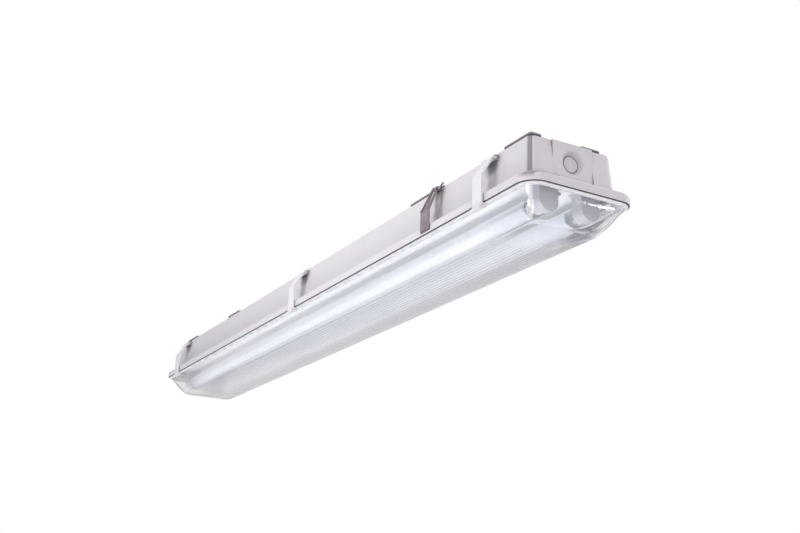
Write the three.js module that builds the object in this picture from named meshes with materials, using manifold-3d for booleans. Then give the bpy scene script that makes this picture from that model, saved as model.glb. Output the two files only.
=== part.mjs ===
// Vapor tight light fixture: a moulded housing with a clear ribbed lens, for two tubular lamps.
// Millimetres. X runs along the fixture towards the near end, -Y is the front long side, +Z is up.
// The origin is the centre of the housing's flat back, which faces the ceiling, so all hangs below it.
import * as THREE from 'three';
import { mergeVertices } from 'three/addons/utils/BufferGeometryUtils.js';
import Module from 'manifold-3d';

const wasm = await Module();
wasm.setup();

// Housing, outside sizes; its length and width follow from the lamps and the gear tray
const wallHeight = 57;
const endDraft = 5;
const sideDraft = 4.5;
const wallThickness = 3;
const backCornerRadius = 9;
const footCornerRadius = 10;
const backEdgeRadius = 3;
const wallFootRadius = 3.5;
const flangeEndReach = 20;
const flangeSideReach = 16.5;
const flangeCornerRadius = 26;
const flangeEdgeRadius = 4;
const flangeThickness = 3;
const skirtHeight = 12;
const skirtThickness = 3;

// Flat panel and conduit entry on each end
const panelWidth = 60;
const panelTopDrop = 1;
const entryHeightShare = 0.45;
const entryMouthRadius = 16;
const entryBoreRadius = 11;
const entryRecessDepth = 5;
const entryRingWidth = 2;
const entryWall = 3;
const plugLipWidth = 1.6;
const plugLipThickness = 1.5;
const plugCrown = 0.8;

// Pads on the back
const padHeight = 2.8;
const padWidth = 18;
const padLength = 56;
const padEdge = 0.8;
const padRowCentre = 20.5;
const innerPadInset = 228;
const cornerPadLength = 26;
const cornerPadWidth = 30;
const cornerPadReach = 30;

// Clearances shared by all the pieces
const seatGap = 0.3;
const cutOverrun = 1;

// Gasket, an upturned channel over the lens's tongue
const gasketLeg = 2.4;
const gasketWeb = 3;
const gasketInnerDrop = 7;

// Lens
const tongueThickness = 2.5;
const lipReach = 3.5;
const lipThickness = 2.5;
const lensWall = 2.5;
const lensRimInset = 0.5;
const lampFloorGap = 20.5;
const lensCrown = 5.5;
const shoulderDepthShare = 0.26;
const lensShoulderEndInset = 12;
const lensShoulderSideInset = 12;
const waistDepthShare = 0.55;
const lensWaistEndInset = 22;
const lensWaistSideInset = 20;
const lensFloorEndInset = 36;
const lensFloorSideInset = 31.5;
const lensShoulderRadius = 20;
const lensWaistRadius = 18;
const lensFloorRadius = 14;
const crownRun = 60;
const ribPitch = 5.5;
const ribHeight = 1.1;
const ribCount = 15;
const ribEndMargin = 75;

// Latches
const latchWidth = 20;
const latchNearInset = 78;
const latchFarInset = 55;
const latchStandOff = 4.5;
const latchPivotDrop = 8;
const latchKinkDrop = 34;
const latchHubRadius = 3.2;
const latchArm = 2.4;
const latchHookOverlap = 2.3;
const latchHookHeight = 4.2;
const latchThumb = 3;
const trunnionRadius = 1.8;
const earThickness = 3;
const earRootDepth = 1.6;

// Hanger clips and their wire hooks
const clipWidth = 22;
const clipTopWidth = 15;
const clipSheet = 1.4;
const clipPadGap = 24.5;
const clipKinkDrop = 38;
const clipLipRaise = 3.8;
const clipLipDepth = 1.6;
const clipEyeBore = 1.7;
const clipEyeStandOff = 3.5;
const clipTabLength = 27.5;
const clipSlotWidth = 6;
const clipSlotBottomDrop = 24;
const clipSlotTopDrop = 6;
const clipBeadWidth = 2.4;
const clipBeadHeight = 1.1;
const clipScrewRadius = 1.9;
const hookWire = 1.3;
const hookRise = 8;
const hookLoopDrop = 4.2;
const hookLean = 5;

// Gear tray and its screws
const trayEndGap = 5;
const traySheet = 1.2;
const trayWallGap = 2;
const traySeatRise = 8;
const trayTurnUp = 12;
const ridgeFootHalf = 12;
const ridgeTopHalf = 7.5;
const ridgeHeight = 7;
const screwEndInset = 24;
const screwEdgeInset = 7.5;
const screwHolderGap = 1.9;
const bossRadius = 4;
const screwRadius = 1.9;
const screwLength = 14;
const screwHeadRadius = 4.1;
const screwHeadHeight = 2.4;

// Lamps and lampholders
const lampPitch = 62;
const lampRidgeGap = 3.3;
const lampLength = 1199.4;
const tubeRadius = 12.7;
const tubeWall = 0.9;
const capLength = 14;
const capSheet = 0.5;
const pinRadius = 1.2;
const pinLength = 7;
const pinPitch = 12.7;
const holderThickness = 20;
const holderRim = 5.1;
const holderBevel = 1.4;
const holderFootHeight = 2;
const holderFootMargin = 2;
const holderPegWidth = 9;
const holderPegLength = 12;
const holderPegRise = 5;
const rotorRim = 1.05;
const rotorFloor = 1.2;
const rotorStubRadius = 3;
const rotorStubLength = 4;
const pinEndGap = 0.8;

// Control gear above the tray
const ballastLength = 240;
const ballastWidth = 42;
const ballastHeight = 28;
const ballastEdge = 3;
const ballastCentreX = -60;
const ballastFootLength = 14;
const ballastFootHeight = 1.5;
const gearScrewLength = 8;
const gearNutHeight = 3;
const blockLength = 32;
const blockWidth = 17;
const blockHeight = 14;
const blockEndInset = 105;
const blockWellRadius = 2.6;
const blockWellDepth = 7;
const blockScrewDepth = 2.6;
const blockWellPitch = 9.5;
const earthStudSpacing = 50;
const leadRadius = 1.5;
const leadRise = 9;

// Smoothness
const cornerSteps = 5;
const filletSteps = 3;
const crownSteps = 3;
const roundSides = 20;
const smallSides = 12;
const wireSides = 8;
const hookSteps = 16;
const leadSides = 6;
const leadSteps = 16;

const quarterTurn = Math.PI / 2;
const lampReach = lampPitch / 2;

// Heights measured down from the back
const flangeTop = -wallHeight;
const flangeUnder = flangeTop - flangeThickness;
const skirtBottom = flangeTop - skirtHeight;
const lipTop = skirtBottom - seatGap;
const lipBottom = lipTop - lipThickness;
const trayBack = flangeUnder + traySeatRise;
const trayFace = trayBack - traySheet;
const capRadius = tubeRadius + seatGap + capSheet;
const lampAxis = trayFace - ridgeHeight - capRadius - lampRidgeGap;
const lensDepth = skirtBottom - lampAxis + tubeRadius + lampFloorGap;

// Sizes that follow from the lamps: the lampholders, then the tray that carries them
const pinSlotHalf = pinRadius + seatGap;
const pinSlotDepth = pinLength + pinEndGap;
const rotorRadius = pinPitch / 2 + pinRadius + rotorRim;
const rotorLength = pinSlotDepth + rotorFloor;
const holderRadius = rotorRadius + seatGap + holderRim;
const holderFootHalf = holderRadius + holderFootMargin;
const holderFace = lampLength / 2 + seatGap;
const holderMiddle = holderFace + holderThickness / 2;
const trayHalfLength = holderFace + holderThickness;
const screwRowX = trayHalfLength - screwEndInset;
const screwRowY = lampReach + holderFootHalf + screwHolderGap + screwHeadRadius;
const trayHalfWidth = screwRowY + screwEdgeInset;

// Plan outlines are rounded rectangles, given by half their length, half their width and a radius
const backOutline = {
  x: trayHalfLength + trayEndGap,
  y: trayHalfWidth + trayWallGap + wallThickness - sideDraft,
  r: backCornerRadius,
};
const footOutline = {
  x: backOutline.x + endDraft,
  y: backOutline.y + sideDraft,
  r: footCornerRadius,
};
const flangeOutline = {
  x: footOutline.x + flangeEndReach,
  y: footOutline.y + flangeSideReach,
  r: flangeCornerRadius,
};
const skirtInside = grown(flangeOutline, -skirtThickness);
const tongueOutside = grown(skirtInside, -gasketLeg - 2 * seatGap);
const lipOutline = grown(tongueOutside, lipReach);

function grown(outline, distance) {
  return {
    x: outline.x + distance,
    y: outline.y + distance,
    r: Math.max(outline.r + distance, wallThickness / 2),
  };
}

function between(first, second, share) {
  return {
    x: first.x + (second.x - first.x) * share,
    y: first.y + (second.y - first.y) * share,
    r: first.r + (second.r - first.r) * share,
  };
}

// The outside of the drafted wall at a height
function wallOutline(height) {
  return between(backOutline, footOutline, -height / wallHeight);
}

// The reach of the drafted long wall from the middle plane at a height
function wallReach(height) {
  return wallOutline(height).y;
}

// One ring of points round a rounded rectangle, anticlockwise seen from above
function ring(outline, height, steps = cornerSteps) {
  const points = [];
  const corners = [[1, 1], [-1, 1], [-1, -1], [1, -1]];
  corners.forEach(([sideX, sideY], corner) => {
    for (let step = 0; step <= steps; step += 1) {
      const angle = quarterTurn * (corner + step / steps);
      points.push(new THREE.Vector3(
        sideX * (outline.x - outline.r) + outline.r * Math.cos(angle),
        sideY * (outline.y - outline.r) + outline.r * Math.sin(angle),
        height,
      ));
    }
  });
  return points;
}

// Skin over a list of rings: outside rings go down and inside rings come back up.
// A closed band joins the last ring to the first, and an open one is capped at both.
function skin(rings, closed) {
  const count = rings[0].length;
  const positions = rings.flat().flatMap((point) => point.toArray());
  const index = [];
  const bands = closed ? rings.length : rings.length - 1;
  for (let band = 0; band < bands; band += 1) {
    const upper = band * count;
    const lower = ((band + 1) % rings.length) * count;
    for (let step = 0; step < count; step += 1) {
      const next = (step + 1) % count;
      index.push(upper + step, lower + step, lower + next);
      index.push(upper + step, lower + next, upper + next);
    }
  }
  if (!closed) {
    const last = (rings.length - 1) * count;
    for (let step = 1; step < count - 1; step += 1) {
      index.push(0, step, step + 1);
      index.push(last, last + step + 1, last + step);
    }
  }
  const geometry = new THREE.BufferGeometry();
  geometry.setAttribute('position', new THREE.Float32BufferAttribute(positions, 3));
  geometry.setIndex(index);
  return geometry;
}

function toSolid(geometry) {
  const bare = geometry.clone();
  bare.deleteAttribute('normal');
  bare.deleteAttribute('uv');
  const merged = mergeVertices(bare);
  return new wasm.Manifold(new wasm.Mesh({
    numProp: 3,
    vertProperties: new Float32Array(merged.attributes.position.array),
    triVerts: new Uint32Array(merged.index.array),
  }));
}

function toGeometry(solid) {
  const mesh = solid.getMesh();
  const geometry = new THREE.BufferGeometry();
  geometry.setAttribute('position', new THREE.Float32BufferAttribute(mesh.vertProperties, 3));
  geometry.setIndex(Array.from(mesh.triVerts));
  geometry.computeVertexNormals();
  return geometry;
}

// Joins the added shapes to the first one, then cuts the others away
function build(base, added, removed) {
  let solid = toSolid(base);
  added.forEach((shape) => { solid = solid.add(toSolid(shape)); });
  removed.forEach((shape) => { solid = solid.subtract(toSolid(shape)); });
  return toGeometry(solid);
}

// A closed outline from a list of [across, up] points
function outline(points) {
  return new THREE.Shape(points.map(([across, up]) => new THREE.Vector2(across, up)));
}

// Extrudes a section drawn in Y and Z along X, between two places
function alongX(section, start, end, bevel = 0) {
  const geometry = new THREE.ExtrudeGeometry(section, {
    depth: end - start - 2 * bevel,
    curveSegments: cornerSteps,
    bevelEnabled: bevel > 0,
    bevelThickness: bevel,
    bevelSize: bevel,
    bevelOffset: -bevel,
    bevelSegments: 2,
  });
  geometry.applyMatrix4(new THREE.Matrix4().makeBasis(
    new THREE.Vector3(0, 1, 0),
    new THREE.Vector3(0, 0, 1),
    new THREE.Vector3(1, 0, 0),
  ));
  geometry.translate(start + bevel, 0, 0);
  return geometry;
}

// Extrudes a section drawn in X and Z along Y, between two places
function alongY(section, start, end) {
  const geometry = new THREE.ExtrudeGeometry(section, { depth: end - start, bevelEnabled: false });
  geometry.rotateX(quarterTurn);
  geometry.translate(0, end, 0);
  return geometry;
}

function box(fromX, toX, fromY, toY, fromZ, toZ) {
  const geometry = new THREE.BoxGeometry(toX - fromX, toY - fromY, toZ - fromZ);
  geometry.translate((fromX + toX) / 2, (fromY + toY) / 2, (fromZ + toZ) / 2);
  return geometry;
}

// Revolves [radius, along] points about an axis that is laid along X or stood along Z
function turnedX(points, sides = roundSides) {
  const geometry = new THREE.LatheGeometry(points.map(([r, a]) => new THREE.Vector2(r, a)), sides);
  geometry.rotateZ(-quarterTurn);
  return geometry;
}

function turnedZ(points, sides = roundSides) {
  const geometry = new THREE.LatheGeometry(points.map(([r, a]) => new THREE.Vector2(r, a)), sides);
  geometry.rotateX(quarterTurn);
  return geometry;
}

// Plain pins from the axis out, as [radius, along] points
function pinProfile(radius, start, end) {
  return [[0, start], [radius, start], [radius, end], [0, end]];
}

function pinX(radius, start, end, y, z, sides = roundSides) {
  return turnedX(pinProfile(radius, start, end), sides).translate(0, y, z);
}

function pinY(radius, start, end, x, z, sides = roundSides) {
  const points = pinProfile(radius, start, end).map(([r, a]) => new THREE.Vector2(r, a));
  return new THREE.LatheGeometry(points, sides).translate(x, 0, z);
}

function pinZ(radius, start, end, x, y, sides = roundSides) {
  return turnedZ(pinProfile(radius, start, end), sides).translate(x, y, 0);
}

// The outline of a bent sheet: its line of [across, up] points, thickened to the left of the line
function sheet(points, thickness) {
  const line = points.map(([across, up]) => new THREE.Vector2(across, up));
  const offset = line.map((point, place) => {
    const before = line[Math.max(place - 1, 0)];
    const after = line[Math.min(place + 1, line.length - 1)];
    const first = point.clone().sub(place > 0 ? before : point).normalize();
    const second = after.clone().sub(place < line.length - 1 ? point : after).normalize();
    const into = place > 0 ? first : second;
    const out = place < line.length - 1 ? second : first;
    const normalIn = new THREE.Vector2(-into.y, into.x);
    const normalOut = new THREE.Vector2(-out.y, out.x);
    const middle = normalIn.clone().add(normalOut).normalize();
    return point.clone().addScaledVector(middle, thickness / middle.dot(normalIn));
  });
  return new THREE.Shape([...line, ...offset.reverse()]);
}

// A round wire through a list of [x, y, z] points
function wire(points, radius, steps, sides) {
  const path = new THREE.CatmullRomCurve3(points.map((point) => new THREE.Vector3(...point)));
  const section = new THREE.Shape();
  for (let side = 0; side < sides; side += 1) {
    const angle = 2 * Math.PI * side / sides;
    const [across, up] = [radius * Math.cos(angle), radius * Math.sin(angle)];
    if (side === 0) {
      section.moveTo(across, up);
    } else {
      section.lineTo(across, up);
    }
  }
  return new THREE.ExtrudeGeometry(section, { steps, extrudePath: path, bevelEnabled: false });
}

function finish(color, roughness, metalness = 0) {
  return new THREE.MeshStandardMaterial({ color, roughness, metalness });
}

const paleHousing = finish(0xdcd8da, 0.5);
const darkRubber = finish(0x4a484b, 0.85);
const padRubber = finish(0x6a676a, 0.85);
const clearLens = finish(0xeef2f6, 0.12);
clearLens.transparent = true;
clearLens.opacity = 0.35;
const whitePolymer = finish(0xf2f1f0, 0.4);
const stainless = finish(0x8f898b, 0.35, 0.9);
const whiteEnamel = finish(0xf6f7f8, 0.45, 0.1);
const holderPlastic = finish(0xe2dedd, 0.5);
const lampGlass = finish(0xf4f8fb, 0.3);
const capMetal = finish(0xb9bcc0, 0.35, 0.9);
const zincSteel = finish(0xa5a6a8, 0.4, 0.9);
const gearCase = finish(0xc9cbcd, 0.45, 0.6);
const blockPlastic = finish(0xd9d5c8, 0.55);
const leadJacket = finish(0x3f4a63, 0.6);
const brass = finish(0xb9954c, 0.35, 0.9);

const fixture = new THREE.Group();
const front = new THREE.Group();
const rear = new THREE.Group();
const nearEnd = new THREE.Group();
const farEnd = new THREE.Group();
rear.rotation.z = Math.PI;
farEnd.rotation.z = Math.PI;
fixture.add(front, rear, nearEnd, farEnd);

function place(group, name, geometry, material, x = 0, y = 0, z = 0) {
  const mesh = new THREE.Mesh(geometry, material);
  mesh.name = name;
  mesh.position.set(x, y, z);
  group.add(mesh);
  return mesh;
}

// Both halves of a shape that a half turn about Z repeats
function halfTurned(shape) {
  return [shape, shape.clone().rotateZ(Math.PI)];
}

// Housing

function housingRings() {
  const rings = [];
  for (let step = 0; step <= filletSteps; step += 1) {
    const turn = quarterTurn * step / filletSteps;
    const height = backEdgeRadius * (Math.cos(turn) - 1);
    rings.push(ring(grown(wallOutline(height), backEdgeRadius * (Math.sin(turn) - 1)), height));
  }
  for (let step = 0; step <= filletSteps; step += 1) {
    const turn = quarterTurn * step / filletSteps;
    const height = flangeTop + wallFootRadius * (1 - Math.sin(turn));
    rings.push(ring(grown(wallOutline(height), wallFootRadius * (1 - Math.cos(turn))), height));
  }
  for (let step = 0; step <= filletSteps; step += 1) {
    const turn = quarterTurn * step / filletSteps;
    const height = flangeTop - flangeEdgeRadius * (1 - Math.cos(turn));
    rings.push(ring(grown(flangeOutline, flangeEdgeRadius * (Math.sin(turn) - 1)), height));
  }
  rings.push(ring(flangeOutline, skirtBottom));
  rings.push(ring(skirtInside, skirtBottom));
  rings.push(ring(skirtInside, flangeUnder));
  rings.push(ring(grown(footOutline, -wallThickness), flangeUnder));
  rings.push(ring(grown(wallOutline(-wallThickness), -wallThickness), -wallThickness));
  return rings;
}

// The flat end panel crosses the leaning end wall at half its height
const panelPlane = backOutline.x + endDraft / 2;
const panelBack = panelPlane - wallThickness;
const entryFloor = panelPlane - entryRecessDepth;
const entryBack = entryFloor - entryWall;
const entryHeight = -wallHeight * entryHeightShare;

function endPanel() {
  const half = panelWidth / 2;
  return box(panelBack, panelPlane, -half, half, flangeTop + seatGap, -panelTopDrop);
}

function endPanelRecess() {
  const half = panelWidth / 2;
  const outside = panelPlane + flangeEndReach;
  return box(panelPlane, outside, -half, half, flangeTop, cutOverrun);
}

function entryBoss() {
  const radius = entryMouthRadius + entryRingWidth;
  return pinX(radius, entryBack, panelPlane - seatGap, 0, entryHeight);
}

function entryHole() {
  const slope = (entryMouthRadius - entryBoreRadius) / entryRecessDepth;
  return turnedX([
    [0, entryBack - cutOverrun],
    [entryBoreRadius, entryBack - cutOverrun],
    [entryBoreRadius, entryFloor],
    [entryMouthRadius, panelPlane],
    [entryMouthRadius + slope * cutOverrun, panelPlane + cutOverrun],
    [0, panelPlane + cutOverrun],
  ]).translate(0, 0, entryHeight);
}

function screwBoss(x, y) {
  return pinZ(bossRadius, trayBack + seatGap, -wallThickness / 2, x, y, smallSides);
}

function screwPilot(x, y) {
  const top = trayFace + screwLength + cutOverrun;
  return pinZ(screwRadius + seatGap, trayBack - cutOverrun, top, x, y, smallSides);
}

// Ribs tie the tall outer bosses to the long wall beside them
function bossRib(x, side) {
  const half = wallThickness / 4;
  const top = -wallThickness / 2;
  const bottom = trayBack + trayTurnUp + trayWallGap;
  const section = outline([
    [side * screwRowY, top],
    [side * screwRowY, bottom],
    [side * (wallReach(bottom) + top), bottom],
    [side * (wallReach(top) + top), top],
  ]);
  return alongX(section, x - half, x + half);
}

const earInnerFace = latchWidth / 2 + 2 * seatGap;
const latchRows = [backOutline.x - latchNearInset, 0, latchFarInset - backOutline.x];
const latchPivot = -latchPivotDrop;
const latchPivotReach = wallReach(latchPivot) + latchStandOff;

// A hinge ear stands on the long wall and is rounded about the pivot
function hingeEar(start) {
  const root = wallReach(latchPivot) - earRootDepth;
  const section = new THREE.Shape();
  section.moveTo(-root, latchPivot + latchHubRadius);
  section.lineTo(-latchPivotReach, latchPivot + latchHubRadius);
  section.absarc(-latchPivotReach, latchPivot, latchHubRadius, quarterTurn, 3 * quarterTurn);
  section.lineTo(-root, latchPivot - latchHubRadius);
  return alongX(section, start, start + earThickness);
}

function earPair(x) {
  return [hingeEar(x + earInnerFace), hingeEar(x - earInnerFace - earThickness)];
}

function earHole(x) {
  const span = earInnerFace + earThickness + cutOverrun;
  return pinX(trunnionRadius + seatGap, x - span, x + span, -latchPivotReach, latchPivot, smallSides);
}

// Pads lie in two rows along the back, the near end ones flush with its end
const endPadReach = backOutline.x - padLength / 2 - padRowCentre;
const innerPadReach = endPadReach - innerPadInset;
const clipReach = innerPadReach + padLength / 2 + clipPadGap;
const clipNearX = padRowCentre + clipReach;
const clipFarX = padRowCentre - clipReach;

// The skirt is notched where a hanger clip's lip bites
const clipLipHeight = skirtBottom + clipLipRaise;

function clipNotch(x) {
  const half = clipWidth / 2 + 2 * seatGap;
  const face = flangeOutline.y;
  const top = clipLipHeight + seatGap;
  const bottom = clipLipHeight - clipSheet - seatGap;
  return box(x - half, x + half, -face - cutOverrun, -face + clipLipDepth + seatGap, bottom, top);
}

const eyeReach = backOutline.y + clipEyeStandOff;
const clipScrewReach = eyeReach - clipTabLength + clipWidth / 3;

function clipScrewHole(x) {
  const radius = clipScrewRadius + seatGap;
  return pinZ(radius, -wallThickness - cutOverrun, cutOverrun, x, -clipScrewReach, smallSides);
}

function housing() {
  const ends = [endPanel(), entryBoss()].flatMap(halfTurned);
  const bosses = [-screwRowY, 0, screwRowY].flatMap((y) => halfTurned(screwBoss(screwRowX, y)));
  const ribs = [-1, 1].flatMap((side) => halfTurned(bossRib(screwRowX, side)));
  const frontEars = latchRows.flatMap((x) => earPair(x));
  const rearEars = latchRows.flatMap((x) => earPair(-x)).map((ear) => ear.rotateZ(Math.PI));
  const frontHoles = latchRows.map((x) => earHole(x));
  const rearHoles = latchRows.map((x) => earHole(-x).rotateZ(Math.PI));
  const pilots = [-screwRowY, 0, screwRowY].flatMap((y) => halfTurned(screwPilot(screwRowX, y)));
  const endCuts = [endPanelRecess(), entryHole()].flatMap(halfTurned);
  const clipCuts = [clipNotch(clipNearX), clipScrewHole(clipNearX)];
  const farClipCuts = [clipNotch(-clipFarX), clipScrewHole(-clipFarX)];
  const turnedClipCuts = farClipCuts.map((cut) => cut.rotateZ(Math.PI));
  return build(
    skin(housingRings(), false),
    [...ends, ...bosses, ...ribs, ...frontEars, ...rearEars],
    [...endCuts, ...pilots, ...frontHoles, ...rearHoles, ...clipCuts, ...turnedClipCuts],
  );
}

place(fixture, 'housing', housing(), paleHousing);

// Snap-in plug that closes a conduit entry
function conduitPlug() {
  const face = entryRecessDepth + seatGap;
  const radius = entryBoreRadius - seatGap;
  const lip = entryBack - seatGap - plugLipThickness;
  const profile = [
    [0, lip],
    [radius + plugLipWidth, lip],
    [radius + plugLipWidth, lip + plugLipThickness],
    [radius, lip + plugLipThickness],
    [radius, panelPlane - face],
    [radius - plugCrown, panelPlane - face + plugCrown],
    [0, panelPlane - face + plugCrown],
  ];
  return turnedX(profile);
}

place(nearEnd, 'conduit_plug_near', conduitPlug(), paleHousing, 0, 0, entryHeight);
place(farEnd, 'conduit_plug_far', conduitPlug(), paleHousing, 0, 0, entryHeight);

// Back pads, low blocks with a chamfered upper edge
function backPad(length, width) {
  const base = { x: length / 2, y: width / 2, r: 2 * padEdge };
  const rings = [
    ring(grown(base, -padEdge), padHeight, filletSteps - 1),
    ring(base, padHeight - padEdge, filletSteps - 1),
    ring(base, seatGap, filletSteps - 1),
  ];
  return skin(rings, false);
}

const padRowY = backOutline.y - padWidth / 2;
const padPlaces = {
  front_near: [endPadReach, -padRowY],
  front_inner_near: [innerPadReach, -padRowY],
  front_inner_far: [-innerPadReach, -padRowY],
  front_far: [-endPadReach, -padRowY],
  rear_inner_near: [innerPadReach, padRowY],
  rear_inner_far: [-innerPadReach, padRowY],
  rear_far: [-endPadReach, padRowY],
};
const padShape = backPad(padLength, padWidth);
Object.entries(padPlaces).forEach(([name, [along, y]]) => {
  place(fixture, `back_pad_${name}`, padShape, padRubber, padRowCentre + along, y);
});
const cornerPadX = backOutline.x - cornerPadLength / 2;
const cornerPad = backPad(cornerPadLength, cornerPadWidth);
place(fixture, 'back_pad_rear_near', cornerPad, padRubber, cornerPadX, cornerPadReach);

// Gasket

function gasketRings() {
  const outside = grown(skirtInside, -seatGap);
  const outerLegInside = grown(outside, -gasketLeg);
  const innerLegOutside = grown(tongueOutside, -tongueThickness - seatGap);
  const inside = grown(innerLegOutside, -gasketLeg);
  const top = flangeUnder - seatGap;
  const webBottom = top - gasketWeb;
  const innerBottom = top - gasketInnerDrop;
  return [
    ring(outside, top),
    ring(outside, skirtBottom),
    ring(outerLegInside, skirtBottom),
    ring(outerLegInside, webBottom),
    ring(innerLegOutside, webBottom),
    ring(innerLegOutside, innerBottom),
    ring(inside, innerBottom),
    ring(inside, top),
  ];
}

place(fixture, 'gasket', skin(gasketRings(), true), darkRubber);

// Lens, from the tongue in the gasket down to the crowned floor and back up inside

const tongueTop = flangeUnder - gasketWeb - 2 * seatGap;
const lipChamfer = lipThickness - lensRimInset - seatGap;

function lensStation(endInset, sideInset, radius, drop) {
  return {
    outline: { x: flangeOutline.x - endInset, y: flangeOutline.y - sideInset, r: radius },
    height: skirtBottom - drop,
  };
}

const lensRim = {
  outline: grown(tongueOutside, -lensRimInset),
  height: lipBottom,
};
const lensShoulder = lensStation(
  lensShoulderEndInset,
  lensShoulderSideInset,
  lensShoulderRadius,
  lensDepth * shoulderDepthShare,
);
const lensWaist = lensStation(
  lensWaistEndInset,
  lensWaistSideInset,
  lensWaistRadius,
  lensDepth * waistDepthShare,
);
const lensFloorEdge = lensStation(
  lensFloorEndInset,
  lensFloorSideInset,
  lensFloorRadius,
  lensDepth - lensCrown,
);

// The floor's depth at a share of its half width, and the outline it has there
function floorStation(share) {
  const edge = lensFloorEdge.outline;
  const half = edge.y * share;
  return {
    outline: { x: edge.x - crownRun * (1 - share), y: half, r: Math.min(edge.r, half) * share },
    height: skirtBottom - lensDepth + lensCrown * share * share,
  };
}

// Inside rings climb from the middle of the floor, and outside rings go down to it again
function lensRings() {
  const floor = [floorStation(1 / (2 * (crownSteps + 1)))];
  for (let step = 1; step <= crownSteps; step += 1) {
    floor.push(floorStation(step / (crownSteps + 1)));
  }
  const sides = [lensWaist, lensShoulder, lensRim];
  const edgeInside = ring(grown(lensFloorEdge.outline, -lensWall), lensFloorEdge.height + lensWall);
  return [
    ...floor.map((station) => ring(station.outline, station.height + lensWall)),
    edgeInside,
    ...sides.map((station) => ring(grown(station.outline, -lensWall), station.height)),
    ring(grown(tongueOutside, -tongueThickness), tongueTop),
    ring(tongueOutside, tongueTop),
    ring(tongueOutside, lipTop),
    ring(lipOutline, lipTop),
    ring(lipOutline, lipBottom + lipChamfer),
    ring(grown(lipOutline, -lipChamfer), lipBottom),
    ...[...sides].reverse().map((station) => ring(station.outline, station.height)),
    ring(lensFloorEdge.outline, lensFloorEdge.height),
    ...[...floor].reverse().map((station) => ring(station.outline, station.height)),
  ];
}

// Lengthwise ribs inside the floor, sunk into it to half their own height
function lensRibs() {
  const points = [];
  const edge = lensFloorEdge.outline;
  const half = ribCount * ribPitch / 2;
  const floorHeight = (y) => floorStation(Math.abs(y) / edge.y).height + lensWall;
  for (let rib = 0; rib < ribCount; rib += 1) {
    const start = -half + rib * ribPitch;
    const middle = start + ribPitch / 2;
    points.push([start, floorHeight(start) - ribHeight / 4]);
    points.push([middle, floorHeight(middle) + ribHeight]);
  }
  points.push([half, floorHeight(half) - ribHeight / 4]);
  for (let rib = ribCount; rib >= 0; rib -= 1) {
    const y = -half + rib * ribPitch;
    points.push([y, floorHeight(y) - lensWall / 2]);
  }
  const reach = edge.x - ribEndMargin;
  return alongX(outline(points), -reach, reach);
}

place(fixture, 'lens', build(skin(lensRings(), false), [lensRibs()], []), clearLens);

// Latches, drawn about their pivot: a hub with trunnions, an arm over the flange and a hook

// A point of the front long side, by its reach from the middle plane and its height
function fromPivot([reach, height]) {
  return [latchPivotReach - reach, height - latchPivot];
}

function latch() {
  const half = latchWidth / 2;
  const armReach = flangeOutline.y + 2 * seatGap;
  const hookTop = lipBottom + lipChamfer - seatGap * Math.SQRT2;
  const tipReach = lipOutline.y - latchHookOverlap;
  const tipTop = hookTop - latchHookOverlap;
  const hookBottom = tipTop - latchHookHeight;
  const arm = sheet([
    [armReach, hookBottom],
    [armReach, -latchKinkDrop],
    [latchPivotReach + cutOverrun, latchPivot - cutOverrun],
  ].map(fromPivot), latchArm);
  const hook = outline([
    [armReach + latchArm, hookTop],
    [lipOutline.y, hookTop],
    [tipReach, tipTop],
    [tipReach, hookBottom + latchHookHeight / 3],
    [tipReach + latchHookHeight / 3, hookBottom],
    [armReach + latchArm + latchThumb, hookBottom - latchThumb / 2],
    [armReach + latchArm + latchThumb, hookBottom + latchThumb / 2],
    [armReach + latchArm, hookBottom + latchThumb],
  ].map(fromPivot));
  const span = earInnerFace + earThickness;
  return build(alongX(arm, -half, half), [
    alongX(hook, -half, half),
    pinX(latchHubRadius, -half, half, 0, 0, smallSides),
    pinX(trunnionRadius, -span, span, 0, 0, smallSides),
  ], []);
}

const latchShape = latch();
const latchNames = ['near', 'middle', 'far'];
latchRows.forEach((x, row) => {
  const name = latchNames[row];
  place(front, `latch_front_${name}`, latchShape, whitePolymer, x, -latchPivotReach, latchPivot);
  place(rear, `latch_rear_${name}`, latchShape, whitePolymer, -x, -latchPivotReach, latchPivot);
});

// Hanger clips: a lip bites the skirt, the plate lies on its face, the slotted arm leans in to the
// back edge and ends in a rolled eye, and a tab runs in over the back to its screw

const eyeOuterRadius = clipEyeBore + clipSheet;
const eyeHeight = seatGap - clipEyeBore;
const clipPlateReach = flangeOutline.y + seatGap;
const armRun = clipPlateReach - eyeReach;
const armRise = clipKinkDrop + eyeHeight;
const armLength = Math.hypot(armRun, armRise);
const armTop = [
  -(eyeReach + clipEyeBore * armRise / armLength),
  eyeHeight + clipEyeBore * armRun / armLength,
];

// Wedges that narrow the arm from the kink up
function clipTaper(side) {
  const wide = clipWidth / 2;
  const narrow = clipTopWidth / 2;
  const top = eyeHeight + eyeOuterRadius + cutOverrun;
  const section = outline([
    [side * wide, -clipKinkDrop],
    [side * (wide + cutOverrun), -clipKinkDrop],
    [side * (wide + cutOverrun), top],
    [side * narrow, top],
    [side * narrow, -clipSlotTopDrop],
  ]);
  return alongY(section, -clipPlateReach - clipWidth, clipTabLength);
}

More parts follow.
